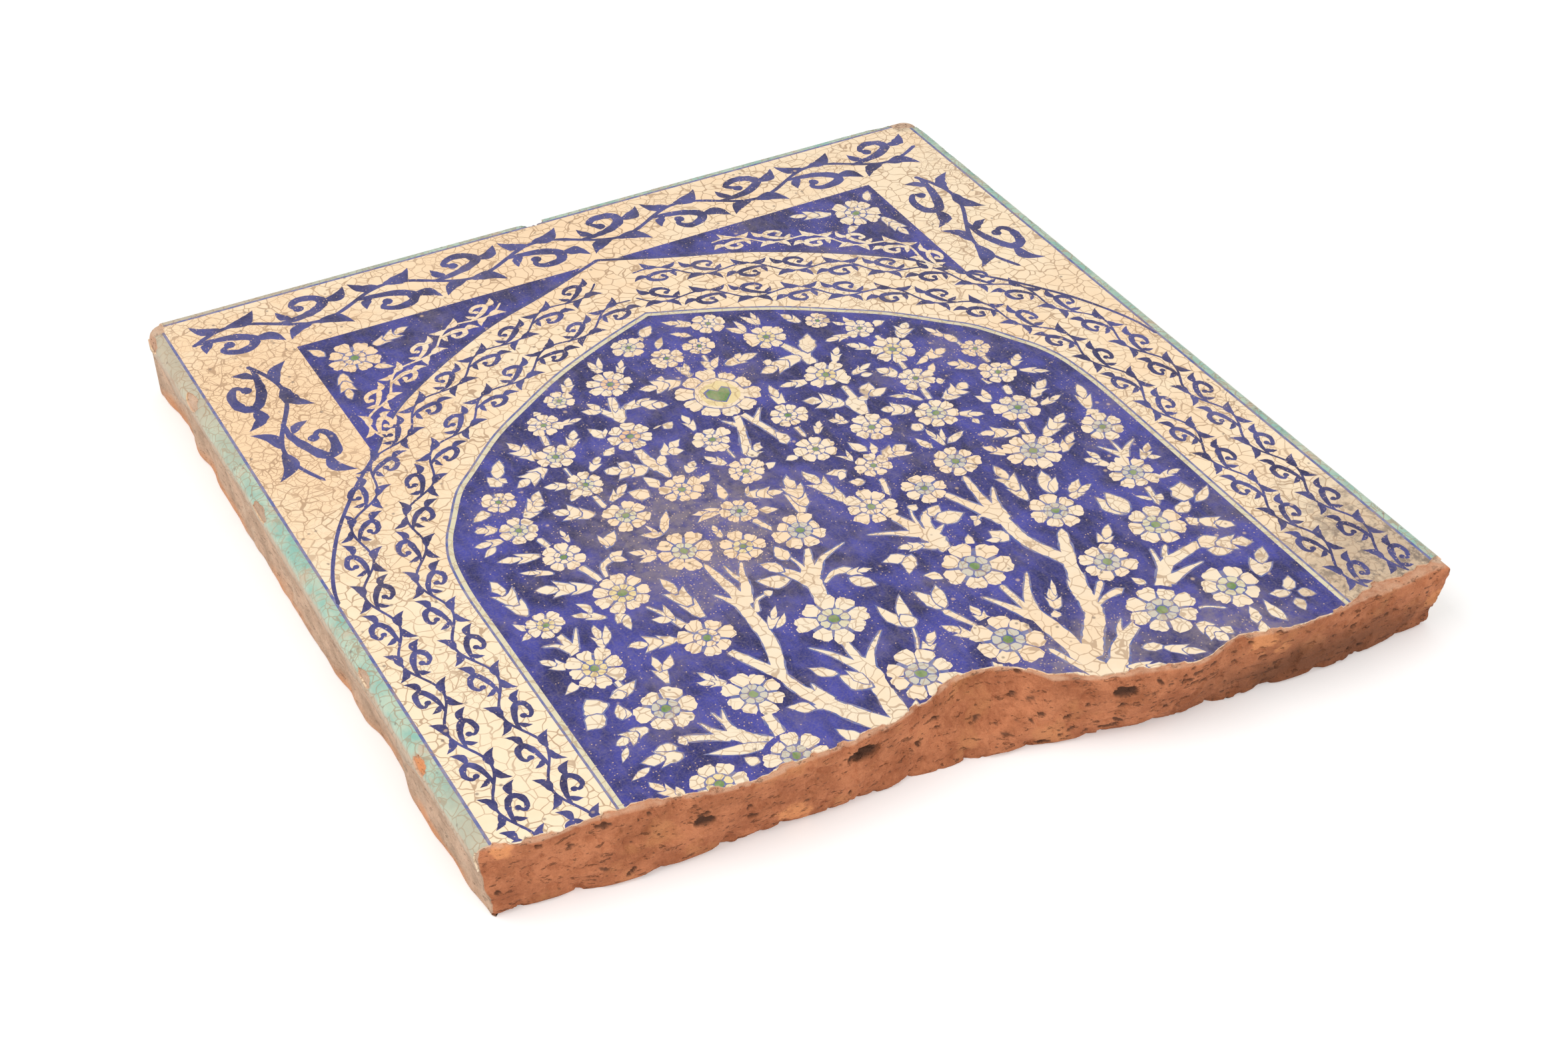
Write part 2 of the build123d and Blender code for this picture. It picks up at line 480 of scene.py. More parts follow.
# colours as linear light
glazePaint = {
    "cream": colour(0.97, 0.79, 0.56),
    "creamTan": colour(0.93, 0.645, 0.395),
    "crackBrown": colour(0.37, 0.215, 0.115),
    "cobaltDeep": colour(0.009, 0.009, 0.085),
    "cobaltWash": colour(0.062, 0.064, 0.37),
    "cobaltDust": colour(0.27, 0.215, 0.24),
    "brushDeep": colour(0.013, 0.012, 0.08),
    "brushWash": colour(0.075, 0.08, 0.29),
    "lineBlue": colour(0.085, 0.115, 0.34),
    "paleStrip": colour(0.70, 0.64, 0.44),
    "creamPetal": colour(0.92, 0.775, 0.58),
    "greyPetal": colour(0.58, 0.545, 0.46),
    "yellowPetal": colour(0.83, 0.66, 0.33),
    "peachPetal": colour(0.84, 0.52, 0.30),
    "green": colour(0.12, 0.24, 0.065),
    "turquoise": colour(0.25, 0.49, 0.41),
    "turquoisePale": colour(0.52, 0.62, 0.48),
    "slip": colour(0.72, 0.47, 0.32),
    "grime": colour(0.19, 0.145, 0.12),
    "wash": colour(0.47, 0.345, 0.24),
    "bareRim": colour(0.60, 0.44, 0.31),
    "patches": {  # centre and reach in metres
        "worn": ((-0.055, -0.045, 0.037), 0.085),
        "rightCorner": ((0.200, -0.205, 0.037), 0.085),
        "topLeft": ((-0.215, 0.215, 0.037), 0.19),
        "lowLeft": ((-0.216, -0.180, 0.034), 0.075),
        "topBorder": ((-0.030, 0.205, 0.037), 0.15),
        "leftBorder": ((-0.200, 0.120, 0.037), 0.17),
        "nearBreak": ((0.108, -0.208, 0.037), 0.045),
        "midBreak": ((0.046, -0.192, 0.037), 0.045),
    },
}


def patchMask(tree, name):
    centre, reach = glazePaint["patches"][name]
    return use(tree, "patch", Centre=centre, Reach=reach).outputs["Mask"]


def glazeSurface(tree, shader, base, crack, rough, wear=None):
    # one skin of glaze over every colour: fine waves, crackle grooves, duller where worn
    where = objectPlace(tree)
    waves = noiseAt(tree, where, 55.0, 3.0)
    fine = noiseAt(tree, where, 420.0, 2.0)
    height = plus(tree, waves, times(tree, fine, 0.08))
    height = plus(tree, height, times(tree, crack.outputs["Height"], 0.12))
    bump = node(tree, "ShaderNodeBump", {"Strength": 0.5, "Distance": 0.0006, "Height": height})
    uneven = ramped(tree, noiseAt(tree, where, 90.0, 4.0), 0.3, 0.7, rough - 0.05, rough + 0.1)
    if wear is not None:
        uneven = plus(tree, uneven, times(tree, wear, 0.3), True)
    feed(tree, shader, {"Normal": bump.outputs[0], "Base Color": base, "Roughness": uneven, "IOR": 1.5,
                        "Specular IOR Level": 0.4, "Coat Weight": 0.05, "Coat Roughness": 0.12})


def makeCream(name, plain, stained, crackDepth=0.72):
    material, tree, shader = newMaterial(name)
    aged = patchMask(tree, "leftBorder")
    craze = use(tree, "craze", Cell=0.0062, Line=0.053, Dense=aged)
    where = objectPlace(tree)
    stain = cloud(tree, where, "stain")
    for mask, share in ((aged, 0.9), (patchMask(tree, "topBorder"), 0.65), (patchMask(tree, "worn"), 0.7)):
        stain = larger(tree, stain, times(tree, mask, share))
    base = blended(tree, stain, plain, stained)
    mottle = cloud(tree, where, "mottle")
    base = blended(tree, mottle, base, stained)
    halo = ramped(tree, craze.outputs["Crack"], 0.0, 1.0, 0.0, crackDepth)
    base = blended(tree, halo, base, glazePaint["crackBrown"])
    dots = use(tree, "specks", Fine=300.0, Amount=0.16).outputs["Speck"]
    corner = patchMask(tree, "rightCorner")
    darkened = times(tree, corner, cloud(tree, where, "darkened"))
    grime, wash = glazePaint["grime"], glazePaint["wash"]
    base = over(tree, base, (dots, 0.7, grime), (corner, 0.72, wash), (darkened, 0.85, grime))
    glazeSurface(tree, shader, base, craze, 0.26, stain)
    return material


def makeCobalt(name, deep, wash, dust=1.0):
    material, tree, shader = newMaterial(name)
    craze = use(tree, "craze", Cell=0.0064, Line=0.056)
    base = blended(tree, use(tree, "tone").outputs["Tone"], deep, wash)
    worn = larger(tree, patchMask(tree, "worn"), patchMask(tree, "nearBreak"))
    worn = larger(tree, worn, patchMask(tree, "midBreak"))
    where = objectPlace(tree)
    film = cloud(tree, where, "dustFilm")
    patchy = cloud(tree, where, "wornFilm")
    film = larger(tree, film, times(tree, worn, patchy))
    powder = cloud(tree, where, "powder")
    dusty, tan = glazePaint["cobaltDust"], glazePaint["creamTan"]
    base = over(tree, base, (film, dust, dusty), (powder, dust, dusty), (craze.outputs["Crack"], 0.13, dusty))
    amount = ramped(tree, worn, 0.0, 1.0, 0.36, 0.85)
    grains = use(tree, "specks", Fine=800.0, Amount=amount).outputs["Speck"]
    coarse = use(tree, "specks", Fine=260.0, Amount=0.05).outputs["Speck"]
    base = over(tree, base, (grains, 0.62, tan), (coarse, 0.5, tan))
    glazeSurface(tree, shader, base, craze, 0.24, film)
    return material


def makeTint(name, tint, crackDepth=0.5):
    material, tree, shader = newMaterial(name)
    craze = use(tree, "craze", Cell=0.0064, Line=0.056)
    tone = use(tree, "tone", Pools=160.0, Strokes=500.0).outputs["Tone"]
    thin = [0.55 * c + 0.45 * k for c, k in zip(tint[:3], glazePaint["cream"][:3])]
    base = blended(tree, times(tree, tone, 0.5), tint, colour(*thin))
    base = over(tree, base, (craze.outputs["Crack"], crackDepth, glazePaint["crackBrown"]))
    glazeSurface(tree, shader, base, craze, 0.25)
    return material


def makeTurquoise():
    material, tree, shader = newMaterial("turquoiseRim")
    craze = use(tree, "craze", Cell=0.0048, Line=0.065)
    tone = use(tree, "tone", Pools=60.0, Strokes=240.0).outputs["Tone"]
    base = blended(tree, tone, glazePaint["turquoise"], glazePaint["turquoisePale"])
    where = objectPlace(tree)
    height = node(tree, "ShaderNodeSeparateXYZ", {0: where}).outputs["Z"]
    ragged = plus(tree, height, times(tree, noiseAt(tree, where, 60.0, 5.0, 0.65), 0.010))
    rubbed = cloud(tree, where, "rubbed")
    rubbed = larger(tree, rubbed, ramped(tree, ragged, 0.0360, 0.0402, 0.95, 0.0))
    for name, share in (("topLeft", 0.75), ("lowLeft", 0.6)):
        rubbed = larger(tree, rubbed, times(tree, patchMask(tree, name), share))
    base = blended(tree, rubbed, base, glazePaint["bareRim"])
    dots = use(tree, "specks", Fine=330.0, Amount=0.3).outputs["Speck"]
    cracks = craze.outputs["Crack"]
    base = over(tree, base, (cracks, 0.6, glazePaint["crackBrown"]), (dots, 0.6, glazePaint["grime"]))
    glazeSurface(tree, shader, base, craze, 0.3, rubbed)
    return material


firedClay = {
    "sides": colour(0.70, 0.475, 0.335),
    "sidesDark": colour(0.46, 0.31, 0.215),
    "broken": colour(0.60, 0.228, 0.108),
    "brokenDark": colour(0.37, 0.122, 0.054),
    "fresh": colour(0.76, 0.31, 0.13),
    "ochre": colour(0.62, 0.27, 0.11),
    # very dark brown: painted shade low on the right of the break, and the darker torn streaks
    "darkened": colour(0.17, 0.065, 0.032),
    "lowBreakShadeSpot": ((0.150, -0.214, 0.006), 0.105),  # centre and reach in metres
    "ledge": colour(0.68, 0.39, 0.25),
    # near black: the clay's dark grit, and painted shade in the pits and voids of the break
    "gritAndPitShade": colour(0.10, 0.045, 0.028),
    "pale": colour(0.70, 0.53, 0.39),
    "umber": colour(0.30, 0.10, 0.04),
}


def makeClay():
    material, tree, shader = newMaterial("firedClay")
    grain = use(tree, "grain")
    marks = [node(tree, "ShaderNodeAttribute", attribute_name=k) for k in ("broken", "pit", "fresh")]
    broken, pit, fresh = (mark.outputs["Fac"] for mark in marks)
    where = objectPlace(tree)
    side = blended(tree, grain.outputs["Tone"], firedClay["sidesDark"], firedClay["sides"])
    dusty = cloud(tree, where, "dustySide")
    side = blended(tree, dusty, side, firedClay["pale"])
    height = node(tree, "ShaderNodeSeparateXYZ", {0: where}).outputs["Z"]
    low = plus(tree, height, times(tree, noiseAt(tree, where, 45.0, 4.0), 0.016))
    warm = ramped(tree, low, 0.009, 0.018, 0.7, 0.0)
    warm = times(tree, warm, cloud(tree, where, "warmFoot"))
    side = blended(tree, warm, side, firedClay["fresh"])
    face = blended(tree, grain.outputs["Tone"], firedClay["brokenDark"], firedClay["broken"])
    base = blended(tree, broken, side, face)
    base = blended(tree, fresh, base, firedClay["fresh"])
    # painted shade: a spot low on the right of the break, darkest at the bottom, for the shade of its
    # down-facing face
    centre, reach = firedClay["lowBreakShadeSpot"]
    spot = use(tree, "patch", Centre=centre, Reach=reach).outputs["Mask"]
    ledge = ramped(tree, height, 0.0348, 0.0362)
    laid = [
        (cloud(tree, where, "umber"), "umber"),
        (cloud(tree, where, "ochre"), "ochre"),
        # painted shade low on the right of the break, darker towards the bottom
        (times(tree, spot, ramped(tree, low, 0.018, 0.038, 0.9, 0.2)), "darkened"),
        (times(tree, grain.outputs["Tear"], 0.62), "darkened"),
        (times(tree, ledge, cloud(tree, where, "chalk")), "ledge"),
        # painted shade along the foot of the break, darker towards the bottom
        (ramped(tree, low, 0.006, 0.014, 0.5, 0.0), "umber"),
    ]
    base = over(tree, base, *((mask, broken, firedClay[tint]) for mask, tint in laid))
    gritty = times(tree, cloud(tree, where, "gritty"), 0.7)
    grit = times(tree, grain.outputs["Grit"], gritty)
    base = blended(tree, grit, base, firedClay["gritAndPitShade"])
    # painted shade: the pits and voids of the break darkened to near black
    base = blended(tree, pit, base, firedClay["gritAndPitShade"])
    rough = {"Strength": 0.9, "Distance": 0.0017, "Height": grain.outputs["Height"]}
    bump = node(tree, "ShaderNodeBump", rough)
    feed(tree, shader, {"Normal": bump.outputs[0], "Base Color": base, "Roughness": 0.92,
                        "Specular IOR Level": 0.25})
    return material


finishes = {
    "rim": makeTurquoise(),
    "cream": makeCream("creamGlaze", glazePaint["cream"], glazePaint["creamTan"]),
    "cobalt": makeCobalt("cobaltGround", glazePaint["cobaltDeep"], glazePaint["cobaltWash"]),
    "brush": makeCobalt("cobaltBrush", glazePaint["brushDeep"], glazePaint["brushWash"], 0.8),
    "petal": makeCream("creamPetal", glazePaint["creamPetal"], glazePaint["creamTan"], 0.6),
    "line": makeTint("lineBlue", glazePaint["lineBlue"]),
    "edgeStrip": makeTint("edgeStrip", glazePaint["paleStrip"]),
    "grey": makeTint("greyPetal", glazePaint["greyPetal"]),
    "yellow": makeTint("yellowPetal", glazePaint["yellowPetal"]),
    "peach": makeTint("peachPetal", glazePaint["peachPetal"]),
    "green": makeTint("greenHeart", glazePaint["green"], 0.3),
    "slip": makeTint("slipEdge", glazePaint["slip"], 0.2),
}
clayFinish = makeClay()
print("finishes ready", len(finishes) + 1)


# The painted design, drawn in thousandths of the width between the side border lines: x to the right
# from the middle, y up from the top border line.
designScale = 0.419
designTop = 212.6

blossoms = (
    (-49, -287, 19, 7, 3), (-21, -326, 19, 7, 0), (-99, -341, 24, 9, 4), (-162, -343, 17, 6, 3),
    (-196, -375, 19, 7, 0), (-209, -432, 21, 7, 3), (-123, -437, 25, 7, 4), (-294, -474, 19, 7, 0),
    (-202, -490, 20, 8, 3), (-48, -484, 22, 7, 0), (-295, -526, 21, 7, 3), (-188, -556, 24, 8, 3),
    (-117, -545, 23, 8, 0), (-43, -549, 23, 8, 0), (53, -287, 19, 6, 0), (23, -322, 17, 6, 0),
    (99, -342, 23, 8, 2), (167, -341, 15, 7, 0), (202, -377, 18, 7, 0), (121, -438, 25, 8, 2),
    (213, -431, 24, 7, 2), (46, -484, 22, 8, 0), (297, -474, 17, 8, 0), (206, -491, 20, 8, 0),
    (42, -551, 22, 7, 0), (115, -546, 24, 7, 0), (294, -525, 21, 7, 0), (191, -557, 25, 8, 3),
    (-273, -586, 22, 7, 0), (-162, -635, 28, 8, 3), (-82, -605, 20, 7, 1), (-106, -657, 23, 7, 2),
    (-333, -671, 20, 7, 2), (-246, -664, 30, 9, 2), (-42, -662, 28, 8, 1), (-319, -749, 27, 8, 2),
    (-204, -762, 28, 7, 0), (-82, -797, 35, 8, 3), (-285, -831, 30, 6, 1), (-203, -853, 29, 8, 1),
    (-49, -905, 35, 8, 1), (-288, -942, 29, 7, 2), (-209, -944, 31, 8, 1), (276, -591, 25, 7, 1),
    (81, -605, 20, 7, 0), (162, -640, 26, 8, 1), (42, -664, 27, 8, 0), (108, -664, 23, 7, 1),
    (246, -664, 30, 9, 1), (337, -664, 24, 7, 1), (208, -761, 28, 7, 1), (318, -746, 26, 8, 1),
    (84, -796, 36, 7, 1), (286, -829, 31, 7, 3), (206, -854, 30, 8, 1), (52, -904, 36, 7, 1),
    (211, -940, 36, 8, 1), (294, -944, 32, 7, 3),
)
stems = (
    (6, 10, (-1, -446), (-9, -476), (-19, -504), (-26, -523)), (7, 1, (-11, -474), (-22, -460)),
    (3, 6, (-8, -393), (-13, -374), (-14, -360)), (7, 13, (-109, -364), (-114, -381), (-118, -404)),
    (9, 6, (-119, -399), (-126, -388), (-131, -378)), (7, 3, (-114, -399), (-107, -389), (-99, -384)),
    (6, 15, (-127, -456), (-126, -481), (-121, -500)), (15, 6, (-121, -497), (-119, -507), (-118, -518)),
    (5, 5, (-209, -417), (-205, -393)), (2, 2, (-209, -451), (-209, -469)),
    (4, 6, (-203, -507), (-201, -532)), (2, 2, (-42, -505), (-42, -522)),
    (6, 5, (-283, -549), (-279, -565)), (6, 8, (0, -446), (6, -469), (13, -490), (19, -514)),
    (7, 1, (10, -476), (25, -458)), (7, 12, (107, -364), (112, -378), (118, -397), (120, -410)),
    (10, 9, (119, -399), (129, -381)), (5, 7, (127, -467), (126, -495)), (26, 6, (123, -495), (121, -525)),
    (5, 5, (207, -458), (205, -473)), (5, 5, (202, -511), (199, -532)), (5, 5, (211, -400), (211, -416)),
    (4, 4, (296, -491), (296, -503)), (5, 4, (43, -505), (43, -524)), (3, 3, (18, -341), (17, -351)),
    (4, 3, (288, -470), (286, -452)), (7, 7, (286, -552), (283, -564)),
    (22, 10, (-110, -957), (-131, -926), (-148, -898), (-161, -870), (-169, -839)),
    (14, 7, (-168, -840), (-180, -818), (-194, -791)),
    (14, 14, (-169, -842), (-158, -814), (-152, -786), (-151, -755), (-150, -727)),
    (10, 2, (-151, -739), (-159, -723), (-167, -711)), (14, 6, (-148, -732), (-149, -709), (-154, -667)),
    (14, 3, (-145, -734), (-134, -713), (-128, -695), (-121, -680)),
    (6, 2, (-133, -705), (-137, -690), (-138, -676)), (5, 2, (-142, -751), (-135, -737), (-124, -733)),
    (7, 5, (-141, -902), (-156, -898), (-170, -894)), (14, 1, (-145, -895), (-147, -881), (-148, -868)),
    (21, 18, (-98, -958), (-95, -923), (-91, -895), (-91, -863)),
    (12, 1, (-93, -874), (-103, -853), (-112, -837), (-124, -823)),
    (9, 7, (-91, -865), (-91, -846), (-90, -830)),
    (11, 1, (-88, -877), (-77, -858), (-63, -844), (-51, -834)),
    (14, 19, (-76, -762), (-72, -744), (-71, -727)), (14, 6, (-75, -737), (-84, -718), (-98, -699)),
    (6, 1, (-70, -727), (-70, -709), (-74, -690)), (14, 5, (-68, -734), (-61, -713), (-51, -693)),
    (10, 1, (-63, -730), (-47, -713), (-30, -706), (-14, -701)),
    (3, 9, (-61, -745), (-47, -737), (-33, -738)), (11, 9, (-209, -919), (-207, -900), (-207, -881)),
    (17, 14, (-216, -923), (-233, -907), (-244, -892)), (12, 1, (-242, -898), (-245, -877), (-240, -858)),
    (5, 1, (-245, -879), (-250, -858)), (11, 1, (-246, -894), (-259, -881), (-266, -865)),
    (8, 7, (-251, -894), (-268, -884), (-289, -875)), (2, 2, (-35, -877), (-26, -860), (-20, -843)),
    (5, 4, (-309, -774), (-308, -791)), (6, 9, (-329, -688), (-326, -709), (-326, -724)),
    (7, 1, (-328, -716), (-336, -704), (-348, -699)), (7, 1, (-323, -716), (-316, -702), (-310, -690)),
    (7, 6, (-265, -609), (-259, -627), (-256, -641)), (3, 7, (-249, -636), (-245, -618), (-233, -611)),
    (7, 5, (-75, -626), (-70, -639), (-65, -649)), (8, 2, (-215, -738), (-224, -713), (-234, -695)),
    (20, 18, (106, -988), (102, -960), (101, -925), (94, -880)),
    (13, 2, (94, -894), (82, -868), (66, -841)), (7, 5, (94, -875), (92, -852), (91, -835)),
    (13, 2, (97, -885), (105, -860), (124, -830)), (8, 5, (97, -986), (88, -960), (80, -937)),
    (22, 15, (111, -960), (130, -936), (147, -915), (153, -895), (157, -878), (166, -856), (174, -834)),
    (15, 13, (174, -836), (164, -815), (155, -795), (151, -773), (152, -742)),
    (16, 6, (151, -748), (140, -722), (122, -684)), (12, 6, (152, -740), (151, -710), (155, -670)),
    (12, 2, (155, -745), (160, -720), (171, -698)), (5, 2, (146, -739), (135, -731), (129, -734)),
    (13, 10, (176, -831), (185, -810), (193, -794)), (15, 1, (155, -885), (152, -872), (154, -859)),
    (4, 6, (159, -899), (170, -888), (181, -877)), (2, 9, (155, -906), (173, -898), (190, -896)),
    (24, 10, (110, -998), (130, -979), (146, -961), (175, -945)),
    (10, 1, (150, -960), (156, -943), (166, -932)), (2, 2, (239, -955), (252, -957), (267, -967)),
    (16, 10, (230, -916), (243, -900), (258, -885), (280, -880), (305, -875)),
    (8, 4, (260, -888), (265, -872), (273, -862)), (8, 2, (245, -898), (252, -878), (257, -860)),
    (13, 1, (243, -908), (270, -902), (291, -900)), (8, 1, (327, -720), (320, -705), (312, -692)),
    (6, 1, (327, -720), (329, -705), (330, -690)), (9, 1, (327, -720), (337, -708), (353, -699)),
    (6, 5, (316, -774), (310, -800)), (6, 4, (76, -630), (72, -645), (67, -658)),
    (9, 18, (54, -690), (60, -705), (66, -725), (74, -742)), (18, 12, (74, -741), (73, -760)),
    (10, 1, (61, -725), (38, -711), (16, -702)), (3, 2, (69, -718), (72, -698), (77, -685)),
    (10, 8, (75, -730), (80, -710), (88, -700)), (8, 1, (79, -732), (92, -725)),
    (10, 5, (67, -750), (50, -740), (38, -736)), (8, 8, (17, -948), (24, -925)),
    (3, 8, (35, -871), (21, -841)), (6, 4, (263, -616), (259, -636)),
)
